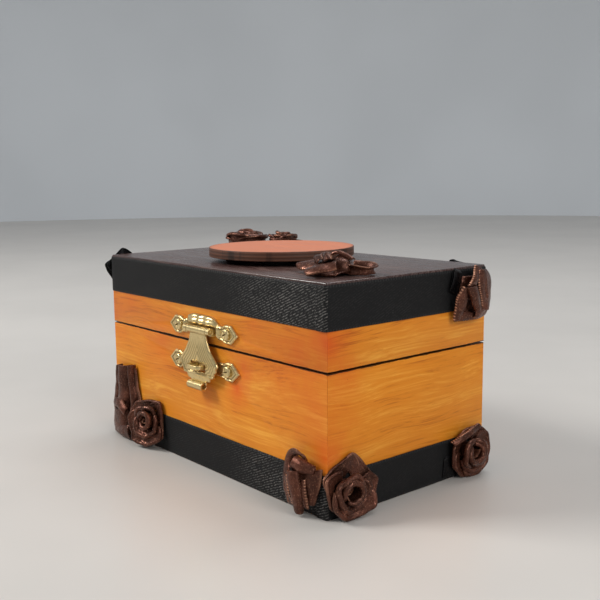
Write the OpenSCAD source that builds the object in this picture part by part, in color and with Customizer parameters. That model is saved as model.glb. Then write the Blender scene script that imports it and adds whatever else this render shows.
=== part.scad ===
// Small wooden keepsake box with a hinged lid, two ribbon bands, satin ribbon roses,
// a round wooden plaque and a brass hasp. Millimetres. +X runs to the right along the
// front, +Y to the back and +Z up. The origin is the middle of the underside.

/* [Box] */
// Outside width of the box, left to right
box_w = 135; // [120:1:200]
// Outside depth of the box, front to back
box_d = 77; // [70:1:120]
// Height of the base, from its underside to the middle of the seam
base_h = 47.6; // [44:0.2:70]
// Height of the lid, from the middle of the seam to its top
lid_h = 28.4; // [26:0.2:40]
// Gap that shows at the seam
seam_gap = 0.5; // [0.3:0.1:1]
// Thickness of the mitred side walls
wall_t = 5; // [4.5:0.5:7]
// Thickness of the bottom panel and of the lid's top panel
panel_t = 3; // [2:0.5:5]

/* [Ribbon bands] */
// Width of the ribbon that is glued round the base and round the lid
band_w = 14.8; // [10:0.2:16]
// Thickness of the ribbon
band_t = 0.4; // [0.2:0.1:0.8]
// Bare edge of the lid left above its ribbon
band_drop = 0.6; // [0.2:0.1:2]
// Length of the ribbon's lap on the front, from the right corner
lap_len = 4.6; // [2:0.2:10]

/* [Plaque] */
// Radius of the round wooden plaque on the lid
plaque_r = 28; // [20:0.5:30]
// Thickness of the plaque
plaque_t = 3.4; // [2:0.1:6]
// Plaque's centre to the right of the lid's middle
plaque_x = 1; // [-5:0.5:5]
// Plaque's centre in front of the lid's middle
plaque_y = 2; // [-2:0.5:4]
// Thickness of the foam pads that hold the plaque off the lid
pad_t = 2; // [1:0.5:3]
// Radius of a foam pad
pad_r = 5; // [3:0.5:6]

/* [Hasp] */
// How much nearer the lid plate lies to the seam than to the ribbon above it
hasp_low = 0.3; // [0:0.1:1]
// Thickness of the stamped brass
brass_t = 0.8; // [0.5:0.1:1]
// Radius of the hasp's pin
pin_r = 0.6; // [0.4:0.05:0.8]
// Distance of the pin's axis from the wood
pin_out = 2.6; // [2.5:0.1:3.2]
// Outer radius of the rolled brass round the pin
roll_r = 1.4; // [1.2:0.05:1.5]
// Width of the roll on the flap
flap_roll_w = 11.8; // [9:0.2:14]
// Width of each roll on the lid plate
plate_roll_w = 2.2; // [1.5:0.1:3]
// Side play between the rolls
roll_play = 0.3; // [0.2:0.05:0.5]
// Distance between the two screws of the lid plate
lid_screw_pitch = 30.5; // [29:0.5:34]
// Distance between the two screws of the catch plate
catch_screw_pitch = 31.4; // [30:0.5:34]
// Overall width of the lid plate
lid_plate_w = 43; // [42:0.5:48]
// Overall width of the catch plate
catch_plate_w = 44; // [43:0.5:48]
// Depth of the catch plate's middle line below the pin
catch_drop = 13.4; // [13:0.1:14]
// Widest width of the bell-shaped flap
flap_w = 23.8; // [20:0.2:26]
// Length of the flap from its pin to its curled tail
flap_l = 20.5; // [20:0.5:24]
// Radius of the curled tail
curl_r = 1.5; // [1.2:0.1:1.8]
// Width of the staple's loop
staple_w = 8.4; // [6:0.2:8.6]
// Height of the staple's strip
staple_h = 1.6; // [1.2:0.1:1.8]
// Thickness of the staple's strip
staple_t = 1.2; // [0.8:0.1:1.5]
// Distance that the staple stands out from the wood
staple_out = 6.2; // [5.6:0.1:8]
// Room between the staple and the flap's slot
slot_play = 0.6; // [0.4:0.1:0.8]
// Extra height of the slot below the staple, which the flap's swing needs
slot_drop = 0.7; // [0.6:0.1:1]

/* [Screws] */
// Radius of a hasp screw's head
head_r = 2.1; // [1.8:0.1:2.4]
// Height of a hasp screw's head
head_h = 1.3; // [1:0.1:1.6]
// Radius of a hasp screw's shank
shank_r = 0.9; // [0.7:0.1:1.1]
// Length of a hasp screw in the wood
shank_l = 3.6; // [2.5:0.1:4]
// Radius of a hinge screw's head
small_head_r = 1.5; // [1.2:0.1:1.7]
// Height of a hinge screw's head
small_head_h = 0.6; // [0.4:0.1:0.8]
// Radius of a hinge screw's shank
small_shank_r = 0.7; // [0.5:0.1:0.8]
// Clearance round a screw's shank
screw_play = 0.05; // [0.02:0.01:0.1]

/* [Hinges] */
// Distance of each hinge's middle from the middle of the back
hinge_x = 40; // [30:1:42]
// Width of a hinge
hinge_w = 18; // [16:1:22]
// Height of one leaf from the seam
leaf_h = 8; // [7:0.5:10]
// Thickness of a leaf
leaf_t = 0.8; // [0.6:0.1:1]
// Outer radius of the knuckles
knuckle_r = 1.5; // [1.3:0.1:1.8]
// Distance of each hinge screw from the end of its leaf
hinge_screw_in = 3.4; // [2.5:0.1:4.5]
// Radius of the hinge pin
hinge_pin_r = 0.7; // [0.5:0.05:0.9]
// Radial clearance of both kinds of pin
pin_play = 0.05; // [0.02:0.01:0.08]
// Gap between neighbouring knuckles
knuckle_gap = 0.3; // [0.2:0.05:0.5]
// Gap between the knuckles and the wood
knuckle_off = 0.3; // [0.2:0.05:0.5]

/* [Ribbon roses] */
// Radius of the usual rose
rose_r = 10.8; // [8:0.2:12]
// How far a rose stands out from the ribbon under it
rose_out = 7; // [5:0.5:8]

/* [Places of the roses: inset from the corner, height and radius in rose radii, then the turn in degrees] */
// Rose on the right side by the near corner
right_front_at = [0.78, 1.02, 1.07, 0]; // [0:0.01:360]
// Rose on the front by the near corner
front_right_at = [0.86, 0.94, 0.91, 20]; // [0:0.01:360]
// Rose on the front by the left corner
front_left_at = [2.78, 0.98, 1.04, 40]; // [0:0.01:360]
// Rose on the left side by the front corner
left_front_at = [1.2, 0.98, 1, 200]; // [0:0.01:360]
// Rose on the right side by the back corner
right_back_at = [0.91, 0.94, 1, 45]; // [0:0.01:360]
// Rose on the back by the right corner
back_right_at = [1, 0.89, 0.89, 100]; // [0:0.01:360]
// Rose on the back by the left corner
back_left_at = [0.98, 0.94, 0.94, 150]; // [0:0.01:360]
// Rose on the left side by the back corner
left_back_at = [0.96, 0.98, 0.98, 310]; // [0:0.01:360]
// Rose on the lid's right side by the back corner, its height below the lid's top
lid_right_at = [0.95, 0.81, 0.96, 215]; // [0:0.01:360]
// Black rose on the lid's back by the right corner, its height below the lid's top
lid_back_at = [1.3, 0.65, 0.85, 60]; // [0:0.01:360]
// Black rose on the lid's left side by the front corner, its height below the lid's top
lid_left_at = [0.63, 0.54, 0.83, 10]; // [0:0.01:360]
// Rose on the lid's top by the near corner: insets from the right and the front
lid_near_at = [1.39, 1.53, 1.2, 0]; // [0:0.01:360]
// Rose on the lid's top by the far corner: insets from the left and the back
lid_far_at = [0.97, 1.29, 0.88, 30]; // [0:0.01:360]
// Second rose on the lid's top by the far corner
lid_far_second_at = [2.73, 0.74, 0.68, 120]; // [0:0.01:360]

/* [Ribbon] */
// Turns of the ribbon in a rose's bud
bud_turns = 2.25; // [1.5:0.25:3]
// Thickness of the doubled ribbon in the bud
bud_t = 0.8; // [0.5:0.1:1]
// Thickness of the folded petals
petal_t = 0.9; // [0.6:0.1:1.2]
// Thickness of the flat ribbon leaves
leaf_ribbon_t = 0.6; // [0.4:0.1:1]
// Height of the folded ribbon on the front by the left corner
fold_h = 29; // [20:1:30]
// Width of the folded ribbon
fold_w = 13; // [8:0.5:15]

/* [Hidden] */
$fn = 48;

// Small amount by which a cutting tool passes through a face
cut = 1;

// Colours
wood_orange = [0.82, 0.49, 0.16];
wood_dark = [0.21, 0.13, 0.11];
ribbon_black = [0.09, 0.09, 0.09];
satin_brown = [0.31, 0.19, 0.16];
brass = [0.75, 0.65, 0.4];
plaque_pink = [0.88, 0.57, 0.45];
foam_dark = [0.14, 0.12, 0.11];

// Levels and faces
seam_z = base_h;
box_h = base_h + lid_h;
base_top = seam_z - seam_gap / 2;
lid_bottom = seam_z + seam_gap / 2;
lid_panel_z = box_h - panel_t;
front_y = -box_d / 2;
back_y = box_d / 2;
right_x = box_w / 2;
lid_band_z = box_h - band_drop - band_w;

// Hasp places, as heights and as distances from the wood
lobe_r = 3.5;
crown_top = 5.4;
bare_strip = lid_band_z - seam_z;
pin_z = seam_z + (bare_strip - hasp_low - crown_top - lobe_r) / 2 + lobe_r;
catch_z = pin_z - catch_drop;
flap_in = pin_out - brass_t / 2;
flap_face = flap_in + brass_t;
plate_roll_x = flap_roll_w / 2 + roll_play;
pin_half = plate_roll_x + plate_roll_w;
slot_bottom = -catch_drop - staple_h / 2 - slot_play - slot_drop;
slot_top = -catch_drop + staple_h / 2 + slot_play;
slot_w = staple_w + 2 * slot_play;
crown_half = plate_roll_x + 3.4;
crown_foot = roll_r + 0.6;

// Half outline of the flap: [share of the half width, share of the length below the pin]
flap_outline = [
    [0.41, 0], [0.41, 0.05], [0.46, 0.18], [0.64, 0.36], [0.97, 0.55], [1, 0.6],
    [0.93, 0.645], [0.92, 0.7], [0.84, 0.74], [0.79, 0.82], [0.62, 0.84], [0.58, 0.9],
    [0.4, 0.92], [0.39, 1]
];

// Hinge places
axis_y = back_y + knuckle_r + knuckle_off;
knuckle_w = (hinge_w - 2 * knuckle_gap) / 3;
leaf_clear = knuckle_r + knuckle_gap;
hinge_screw_x = hinge_w / 2 - hinge_screw_in;
hinge_screw_z = leaf_clear + (leaf_h - leaf_clear) / 2;
hinge_hole_l = 3;

// Ribbon roses: petal corners as [angle, share of the rose's radius, share of its height]
square_fan = [[0, 1, 0.4], [80, 0.95, 0.34], [150, 0.84, 0.46], [215, 0.92, 0.4], [288, 0.9, 0.5]];
bow_fan = [[12, 1, 0.5], [58, 0.9, 0.42], [120, 0.78, 0.5], [178, 1.36, 0.3], [236, 1.02, 0.36],
    [300, 1.1, 0.4]];
notch_share = 0.8;
notch_lift = 0.26;
cup_floor = 1.5;
bud_core_share = 0.13;
square_bud = 0.6;
bow_bud = 0.5;
bud_steps_per_turn = 12;

function polar(r, a, z) = [r * cos(a), r * sin(a), z];

function mirrored(half) =
    concat(half, [for (i = [len(half) - 1:-1:0]) if (half[i][0] > 0) [-half[i][0], half[i][1]]]);

// Triangles between ring a and ring b of n points each, seen from outside
function strip(a, b, n) = [for (i = [0:n - 1]) each [
    [a + i, a + (i + 1) % n, b + (i + 1) % n],
    [a + i, b + (i + 1) % n, b + i]
]];
function fan(a, n) = [for (i = [1:n - 2]) [a, a + i, a + i + 1]];
function flipped(faces) = [for (f = faces) [f[2], f[1], f[0]]];

// ---- Places on the box ----

module on_right(y, z) {
    translate([right_x, y, z]) rotate([90, 0, 90]) children();
}

module on_left(y, z) {
    translate([-right_x, y, z]) rotate([90, 0, -90]) children();
}

module on_front(x, z) {
    translate([x, front_y, z]) rotate([90, 0, 0]) children();
}

module on_back(x, z) {
    translate([x, back_y, z]) rotate([90, 0, 180]) children();
}

// ---- Wood ----

module panel(z) {
    translate([-box_w / 2, -box_d / 2, z]) cube([box_w, box_d, panel_t]);
}

// A wall with mitred ends: its outer face lies on y = 0 and its thickness runs to +Y
module mitred_wall(length, z0, z1) {
    translate([0, 0, z0])
        linear_extrude(z1 - z0)
            polygon([[-length / 2, 0], [length / 2, 0],
                [length / 2 - wall_t, wall_t], [-length / 2 + wall_t, wall_t]]);
}

// Pilot holes along Y from the outer face of a wall, at each x
module pilot_holes(xs, z, r, depth) {
    for (x = xs)
        translate([x, -cut, z]) rotate([-90, 0, 0]) cylinder(r = r + screw_play, h = depth + cut);
}

module front_wall(z0, z1, screw_z, pitch) {
    translate([0, front_y, 0]) difference() {
        mitred_wall(box_w, z0, z1);
        pilot_holes([-pitch / 2, pitch / 2], screw_z, shank_r, shank_l);
    }
}

module back_wall(z0, z1, screw_z) {
    translate([0, back_y, 0]) rotate(180) difference() {
        mitred_wall(box_w, z0, z1);
        pilot_holes(hinge_screw_xs, screw_z, small_shank_r, hinge_hole_l);
    }
}

hinge_screw_xs = [for (side = [-1, 1], end = [-1, 1]) side * hinge_x + end * hinge_screw_x];

module side_wall(side, z0, z1) {
    translate([side * right_x, 0, 0]) rotate(side * 90) mitred_wall(box_d, z0, z1);
}

module base_bottom_panel() {
    color(wood_orange) panel(0);
}

module base_front_wall() {
    color(wood_orange) front_wall(panel_t, base_top, catch_z, catch_screw_pitch);
}

module base_back_wall() {
    color(wood_orange) back_wall(panel_t, base_top, seam_z - hinge_screw_z);
}

module base_left_wall() {
    color(wood_orange) side_wall(-1, panel_t, base_top);
}

module base_right_wall() {
    color(wood_orange) side_wall(1, panel_t, base_top);
}

module lid_top_panel() {
    color(wood_dark) panel(lid_panel_z);
}

module lid_front_wall() {
    color(wood_orange) front_wall(lid_bottom, lid_panel_z, pin_z, lid_screw_pitch);
}

module lid_back_wall() {
    color(wood_orange) back_wall(lid_bottom, lid_panel_z, seam_z + hinge_screw_z);
}

module lid_left_wall() {
    color(wood_orange) side_wall(-1, lid_bottom, lid_panel_z);
}

module lid_right_wall() {
    color(wood_orange) side_wall(1, lid_bottom, lid_panel_z);
}

// ---- Ribbon bands and plaque ----

module band(z) {
    translate([0, 0, z]) linear_extrude(band_w) {
        difference() {
            square([box_w + 2 * band_t, box_d + 2 * band_t], center = true);
            square([box_w, box_d], center = true);
        }
        translate([right_x - lap_len, front_y - 2 * band_t]) square([lap_len + band_t, band_t]);
    }
}

module base_ribbon() {
    color(ribbon_black) band(0);
}

module lid_ribbon() {
    color(ribbon_black) band(lid_band_z);
}

module plaque() {
    color(plaque_pink) translate([plaque_x, -plaque_y, box_h + pad_t])
        cylinder(r = plaque_r, h = plaque_t, $fn = 96);
}

module plaque_pads() {
    color(foam_dark) for (a = [45:90:315])
        translate([plaque_x, -plaque_y, box_h])
            translate(polar(plaque_r - 2.2 * pad_r, a, 0)) cylinder(r = pad_r, h = pad_t);
}

// ---- Screws: the head's underside is at z = 0 and the shank runs down ----

module screw(r, h, sr, sl) {
    crown = h * 0.45;
    slot = r * 0.24;
    difference() {
        rotate_extrude() polygon([
            [0, -sl], [sr * 0.4, -sl], [sr, -sl + sr], [sr, 0], [r, 0], [r, h - crown],
            [r * 0.86, h - crown * 0.45], [r * 0.55, h - crown * 0.08], [0, h]
        ]);
        for (a = [0, 90])
            rotate(a + 20) translate([-r * 0.62, -slot / 2, h * 0.45]) cube([r * 1.24, slot, h]);
    }
}

module hasp_screws(pitch, z) {
    color(brass) for (side = [-1, 1])
        on_front(side * pitch / 2, z) translate([0, 0, brass_t])
            screw(head_r, head_h, shank_r, brass_t + shank_l - 0.2);
}

module hasp_lid_screws() {
    hasp_screws(lid_screw_pitch, pin_z);
}

module hasp_catch_screws() {
    hasp_screws(catch_screw_pitch, catch_z);
}

module hinge_screws(z) {
    color(brass) for (x = hinge_screw_xs)
        on_back(x, z) translate([0, 0, leaf_t])
            screw(small_head_r, small_head_h, small_shank_r, leaf_t + hinge_hole_l - 0.2);
}

module hinge_lid_screws() {
    hinge_screws(seam_z + hinge_screw_z);
}

module hinge_base_screws() {
    hinge_screws(seam_z - hinge_screw_z);
}

// ---- Hasp: drawn on the front face, +Z out of the wood, origin under the pin ----

module roll(half_from, half_to) {
    translate([half_from, 0, pin_out]) rotate([0, 90, 0]) cylinder(r = roll_r, h = half_to - half_from);
}

module pin_bore(half) {
    translate([-half, 0, pin_out]) rotate([0, 90, 0]) cylinder(r = pin_r + pin_play, h = 2 * half);
}

// Round lobe and pointed end, one on each side
module plate_lobes(pitch, width) {
    for (side = [0, 1]) mirror([side, 0, 0]) {
        translate([pitch / 2, 0, 0]) cylinder(r = lobe_r, h = brass_t);
        linear_extrude(brass_t)
            polygon([[pitch / 2 + 0.6, lobe_r * 0.9], [pitch / 2 + 2.4, lobe_r],
                [width / 2, 0.2], [width / 2, -0.2],
                [pitch / 2 + 2.4, -lobe_r], [pitch / 2 + 0.6, -lobe_r * 0.9]]);
    }
}

module plate_screw_holes(pitch) {
    for (side = [-1, 1])
        translate([side * pitch / 2, 0, -cut]) cylinder(r = shank_r + screw_play, h = brass_t + 2 * cut);
}

module lid_plate_blank() {
    linear_extrude(brass_t) polygon(mirrored([
        [0, crown_top], [crown_half * 0.55, crown_top], [crown_half * 0.85, crown_top - 0.9],
        [crown_half, crown_top - 2.4], [crown_half + 1.4, lobe_r * 0.75],
        [lid_screw_pitch / 2, lobe_r * 0.7], [lid_screw_pitch / 2, -lobe_r * 0.8],
        [crown_half + 0.6, -lobe_r * 0.75], [crown_half - 0.6, -roll_r], [0, -roll_r]
    ]));
    plate_lobes(lid_screw_pitch, lid_plate_w);
}

module catch_plate_blank() {
    waist = 2.3;
    linear_extrude(brass_t) polygon(mirrored([
        [0, waist], [staple_w / 2 + 3, waist], [catch_screw_pitch / 2, lobe_r * 0.8],
        [catch_screw_pitch / 2, -lobe_r * 0.8], [staple_w / 2 + 3, -waist], [0, -waist]
    ]));
    plate_lobes(catch_screw_pitch, catch_plate_w);
}

module hasp_lid_plate() {
    color(brass) on_front(0, pin_z) {
        difference() {
            lid_plate_blank();
            plate_screw_holes(lid_screw_pitch);
        }
        // stepped crown above the pin
        for (step = [0, 1])
            translate([0, 0, brass_t])
                linear_extrude(0.6 + 0.5 * step)
                    polygon(mirrored([
                        [0, crown_top - 0.5 - 0.6 * step], [crown_half * 0.5, crown_top - 0.5 - 0.6 * step],
                        [crown_half - 1 - step, crown_top - 1.6 - 0.4 * step],
                        [crown_half - 0.6 - step, crown_foot + 0.2 * step], [0, crown_foot + 0.2 * step]
                    ]));
        // rolls that hold the pin, each on a web
        difference() {
            for (side = [-1, 1]) {
                roll(min(side * plate_roll_x, side * pin_half), max(side * plate_roll_x, side * pin_half));
                translate([min(side * plate_roll_x, side * pin_half), -roll_r * 0.8, brass_t / 2])
                    cube([plate_roll_w, roll_r * 1.6, pin_out - brass_t / 2]);
            }
            pin_bore(pin_half + cut);
        }
    }
}

module hasp_pin() {
    color(brass) on_front(0, pin_z)
        translate([-pin_half, 0, pin_out]) rotate([0, 90, 0]) cylinder(r = pin_r, h = 2 * pin_half);
}

// The flap's outline drawn in by an inset, between two shares of its length
function flap_shape(inset, from, to) = mirrored([
    for (p = flap_outline) if (p[1] >= from && p[1] <= to)
        [p[0] * flap_w / 2 - inset, -p[1] * flap_l]
]);

module hasp_flap() {
    ridge = 0.45;
    tail = -flap_l;
    color(brass) on_front(0, pin_z) difference() {
        union() {
            roll(-flap_roll_w / 2, flap_roll_w / 2);
            translate([0, 0, flap_in]) linear_extrude(brass_t) polygon(flap_shape(0, 0, 1));
            // raised border that follows the bell
            translate([0, 0, flap_face]) linear_extrude(ridge) difference() {
                polygon(flap_shape(0.35, 0.05, 0.82));
                polygon(flap_shape(1.5, 0.12, 0.75));
            }
            // raised middle panel with the slot in its foot
            translate([0, 0, flap_face]) linear_extrude(ridge)
                polygon(mirrored([[0, -flap_l * 0.24], [1.6, -flap_l * 0.26], [slot_w / 2 + 1, slot_top + 1],
                    [slot_w / 2 + 1, slot_bottom - 0.5], [0, slot_bottom - 0.7]]));
            // tail, curled outwards
            translate([-0.39 * flap_w / 2, tail, flap_in + curl_r]) rotate([0, 90, 0])
                cylinder(r = curl_r, h = 0.39 * flap_w);
        }
        pin_bore(flap_roll_w);
        translate([-slot_w / 2, slot_bottom, 0]) cube([slot_w, slot_top - slot_bottom, staple_out]);
        translate([-flap_w / 2, tail, flap_in + curl_r]) rotate([0, 90, 0])
            cylinder(r = curl_r - 0.6, h = flap_w);
    }
}

module hasp_catch_plate() {
    color(brass) on_front(0, catch_z) difference() {
        catch_plate_blank();
        plate_screw_holes(catch_screw_pitch);
    }
}

// U-shaped strip that lies level and comes out through the flap's slot
module hasp_staple() {
    outer_r = staple_t + 1;
    rise = staple_out - brass_t;
    color(brass) on_front(0, catch_z)
        translate([0, staple_h / 2, brass_t]) rotate([90, 0, 0]) linear_extrude(staple_h) difference() {
            loop_outline(staple_w, rise, outer_r);
            translate([0, -cut])
                loop_outline(staple_w - 2 * staple_t, rise - staple_t + cut, outer_r - staple_t);
        }
}

// Open-footed arch of a width, height and corner radius
module loop_outline(w, h, r) {
    translate([-w / 2, 0]) square([w, h - r]);
    translate([-w / 2 + r, 0]) square([w - 2 * r, h]);
    for (side = [-1, 1])
        translate([side * (w / 2 - r), h - r]) circle(r = r);
}

// ---- Back hinges: lifted is 1 for the lid's leaf, with the outer knuckles, and -1 for the base's ----

module knuckle_run(from, to, lifted) {
    difference() {
        union() {
            translate([from, axis_y, seam_z]) rotate([0, 90, 0]) cylinder(r = knuckle_r, h = to - from);
            translate([from, back_y, lifted > 0 ? seam_z : seam_z - leaf_clear - cut])
                cube([to - from, leaf_t, leaf_clear + cut]);
            // curl of the leaf into the knuckle
            translate([from, back_y, lifted > 0 ? seam_z : seam_z - knuckle_r / 2])
                cube([to - from, axis_y - back_y, knuckle_r / 2]);
        }
        translate([from - cut, axis_y, seam_z]) rotate([0, 90, 0])
            cylinder(r = hinge_pin_r + pin_play, h = to - from + 2 * cut);
        // the foot of the tab keeps off the other body at the seam
        translate([from - cut, back_y - cut, lifted > 0 ? seam_z - cut : seam_z - seam_gap / 4])
            cube([to - from + 2 * cut, cut + leaf_t, lifted > 0 ? cut + seam_gap / 4 : cut]);
    }
}

module hinge_leaf(x, lifted) {
    z0 = lifted > 0 ? seam_z + leaf_clear : seam_z - leaf_h;
    color(brass) {
        difference() {
            translate([x - hinge_w / 2, back_y, z0]) cube([hinge_w, leaf_t, leaf_h - leaf_clear]);
            for (end = [-1, 1])
                translate([x + end * hinge_screw_x, back_y - cut, seam_z + lifted * hinge_screw_z])
                    rotate([-90, 0, 0]) cylinder(r = small_shank_r + screw_play, h = leaf_t + 2 * cut);
        }
        if (lifted > 0) {
            knuckle_run(x - hinge_w / 2, x - hinge_w / 2 + knuckle_w, 1);
            knuckle_run(x + hinge_w / 2 - knuckle_w, x + hinge_w / 2, 1);
        } else {
            knuckle_run(x - knuckle_w / 2, x + knuckle_w / 2, -1);
        }
    }
}

module hinge_pin(x) {
    color(brass) translate([x - hinge_w / 2, axis_y, seam_z]) rotate([0, 90, 0])
        cylinder(r = hinge_pin_r, h = hinge_w);
}

module hinge_left_lid_leaf() {
    hinge_leaf(-hinge_x, 1);
}

module hinge_left_base_leaf() {
    hinge_leaf(-hinge_x, -1);
}

module hinge_left_pin() {
    hinge_pin(-hinge_x);
}

module hinge_right_lid_leaf() {
    hinge_leaf(hinge_x, 1);
}

module hinge_right_base_leaf() {
    hinge_leaf(hinge_x, -1);
}

module hinge_right_pin() {
    hinge_pin(hinge_x);
}

// ---- Ribbon roses: +Z is out of the face, the petals' foot is at z = 0 ----

// Folded outer petals: a shallow cup whose rim runs through corners and notches
module petal_cup(r, corners) {
    n = len(corners);
    rim = [for (i = [0:n - 1]) each [
        [corners[i][0], r * corners[i][1], rose_out * corners[i][2]],
        [corners[i][0] + angle_to_next(corners, i) / 2,
            notch_share * r * min(corners[i][1], corners[(i + 1) % n][1], 1), rose_out * notch_lift]
    ]];
    m = 2 * n;
    foot = [for (p = rim) polar(0.52 * r, p[0], 0)];
    under = [for (p = rim) polar(p[1], p[0], max(p[2] - petal_t, 0.2))];
    over = [for (p = rim) polar(p[1] - 0.2, p[0], p[2])];
    floor_ring = [for (p = rim) polar(0.62 * r, p[0], cup_floor)];
    polyhedron(
        concat(foot, under, over, floor_ring),
        concat(fan(0, m), flipped(strip(0, m, m)), flipped(strip(m, 2 * m, m)),
            flipped(strip(2 * m, 3 * m, m)), flipped(fan(3 * m, m)))
    );
}

function angle_to_next(corners, i) =
    let (a = corners[i][0], b = corners[(i + 1) % len(corners)][0]) b > a ? b - a : b - a + 360;

// Points of the bud's spiral: t runs from 0 at the heart to 1 at the outer end
function bud_steps() = ceil(bud_turns * bud_steps_per_turn);
function bud_r(r, share, t) = r * (bud_core_share + (share - bud_core_share) * t);
function bud_z(t) = rose_out * (0.86 + 0.14 * sin(180 * min(1, t * 1.6))) * (1 - 0.3 * t * t);

// Least gap between neighbouring turns of a bud, measured on its points
function bud_gap(r, share) = min([
    for (i = [0:bud_steps() - bud_steps_per_turn])
        let (t = i / bud_steps(), u = (i + bud_steps_per_turn) / bud_steps())
            bud_r(r, share, u) - bud_r(r, share, t) - bud_t
]);

// One ribbon wound on edge, leaning out towards its outer end
module bud(r, share) {
    n = bud_steps();
    foot_z = cup_floor / 2;
    points = [for (i = [0:n])
        let (t = i / n, a = 360 * bud_turns * t, q = bud_r(r, share, t), lean = 0.9 * t) each [
        polar(q - bud_t / 2, a, foot_z),
        polar(q + bud_t / 2, a, foot_z),
        polar(q + bud_t / 2 + lean, a, bud_z(t)),
        polar(q - bud_t / 2 + lean, a, bud_z(t))
    ]];
    sides = [for (i = [0:n - 1], k = [0:3]) let (a = 4 * i + k, b = 4 * i + (k + 1) % 4) each [
        [a, b, b + 4], [a, b + 4, a + 4]
    ]];
    polyhedron(points, concat(sides, flipped([[0, 1, 2], [0, 2, 3]]),
        [[4 * n, 4 * n + 1, 4 * n + 2], [4 * n, 4 * n + 2, 4 * n + 3]]));
}

module rose(r, turn, corners = square_fan, bud_share = square_bud) {
    translate([0, 0, band_t]) rotate(turn) {
        petal_cup(r, corners);
        bud(r, bud_share);
    }
}

echo(least_gap_between_turns_of_a_bud = min(bud_gap(lid_near_at[2] * rose_r, bow_bud), min([
    for (at = [right_front_at, front_right_at, front_left_at, left_front_at, right_back_at, back_right_at,
        back_left_at, left_back_at, lid_right_at, lid_back_at, lid_left_at, lid_far_at, lid_far_second_at])
        bud_gap(at[2] * rose_r, square_bud)
])));

module rose_right_front() {
    at = right_front_at;
    color(satin_brown) on_right(front_y + at[0] * rose_r, at[1] * rose_r) rose(at[2] * rose_r, at[3]);
}

// This rose stands on the lap of the ribbon
module rose_front_right() {
    at = front_right_at;
    color(satin_brown) on_front(right_x - at[0] * rose_r, at[1] * rose_r)
        translate([0, 0, band_t]) rose(at[2] * rose_r, at[3]);
}

module rose_front_left() {
    at = front_left_at;
    color(satin_brown) on_front(-right_x + at[0] * rose_r, at[1] * rose_r) rose(at[2] * rose_r, at[3]);
}

module rose_left_front() {
    at = left_front_at;
    color(satin_brown) on_left(front_y + at[0] * rose_r, at[1] * rose_r) rose(at[2] * rose_r, at[3]);
}

module rose_right_back() {
    at = right_back_at;
    color(satin_brown) on_right(back_y - at[0] * rose_r, at[1] * rose_r) rose(at[2] * rose_r, at[3]);
}

module rose_back_right() {
    at = back_right_at;
    color(satin_brown) on_back(right_x - at[0] * rose_r, at[1] * rose_r) rose(at[2] * rose_r, at[3]);
}

module rose_back_left() {
    at = back_left_at;
    color(satin_brown) on_back(-right_x + at[0] * rose_r, at[1] * rose_r) rose(at[2] * rose_r, at[3]);
}

module rose_left_back() {
    at = left_back_at;
    color(satin_brown) on_left(back_y - at[0] * rose_r, at[1] * rose_r) rose(at[2] * rose_r, at[3]);
}

module rose_lid_right() {
    at = lid_right_at;
    color(satin_brown) on_right(back_y - at[0] * rose_r, box_h - at[1] * rose_r) rose(at[2] * rose_r, at[3]);
}

module rose_lid_back() {
    at = lid_back_at;
    color(ribbon_black) on_back(right_x - at[0] * rose_r, box_h - at[1] * rose_r) rose(at[2] * rose_r, at[3]);
}

module rose_lid_left() {
    at = lid_left_at;
    color(ribbon_black) on_left(front_y + at[0] * rose_r, box_h - at[1] * rose_r) rose(at[2] * rose_r, at[3]);
}

// The roses on the lid's top stand on the bare panel
module on_lid(x, y) {
    translate([x, y, box_h - band_t]) children();
}

module rose_lid_near() {
    at = lid_near_at;
    color(satin_brown) on_lid(right_x - at[0] * rose_r, front_y + at[1] * rose_r)
        rose(at[2] * rose_r, at[3], bow_fan, bow_bud);
}

module rose_lid_far() {
    at = lid_far_at;
    color(satin_brown) on_lid(-right_x + at[0] * rose_r, back_y - at[1] * rose_r) rose(at[2] * rose_r, at[3]);
}

module rose_lid_far_second() {
    at = lid_far_second_at;
    color(satin_brown) on_lid(-right_x + at[0] * rose_r, back_y - at[1] * rose_r) rose(at[2] * rose_r, at[3]);
}

// ---- Flat leaves and the folded ribbon ----

// A leaf of four corners that rises from the ribbon at one end
module leaf(corners, lift) {
    n = len(corners);
    low = [for (i = [0:n - 1]) [corners[i][0] * rose_r, corners[i][1] * rose_r, band_t + lift[i] * rose_r]];
    high = [for (p = low) [p[0], p[1], p[2] + leaf_ribbon_t]];
    polyhedron(concat(low, high),
        concat(fan(0, n), flipped(strip(0, n, n)), flipped(fan(n, n))));
}

// The leaves' corners and lifts are in rose radii, from the edge of the rose beside them
module leaf_base_right() {
    at = right_back_at * rose_r;
    color(ribbon_black) on_right(back_y - at[0] - at[2], at[1])
        leaf([[-0.22, -0.86], [0.46, -0.88], [0.36, -0.05], [-0.15, -0.22]], [0, 0, 0, 0]);
}

module leaf_lid_right() {
    at = lid_right_at * rose_r;
    color(ribbon_black) on_right(back_y - at[0] - at[2], box_h - at[1])
        leaf([[0, 0.22], [0.26, 0.11], [0.48, 0.76], [0.17, 0.87]], [0.06, 0, 0, 0.13]);
}

// Two upright pleats of ribbon that lean on the front by the left corner
module ribbon_fold_left() {
    pleat_w = fold_w / 2;
    color(satin_brown) on_front(-right_x + 1.2, 0.6) translate([0, 0, band_t])
        for (i = [0, 1])
            translate([i * pleat_w, 0, 0]) rotate([-90, 0, 0]) mirror([0, 1, 0])
                linear_extrude(fold_h - 2.5 * i)
                    polygon([[0.15 * i, 0], [pleat_w, 0], [pleat_w * 0.94, 1.6], [pleat_w * 0.6, 2.7],
                        [pleat_w * 0.3, 2.5], [0.15 * i, 1.2]]);
}

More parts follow.
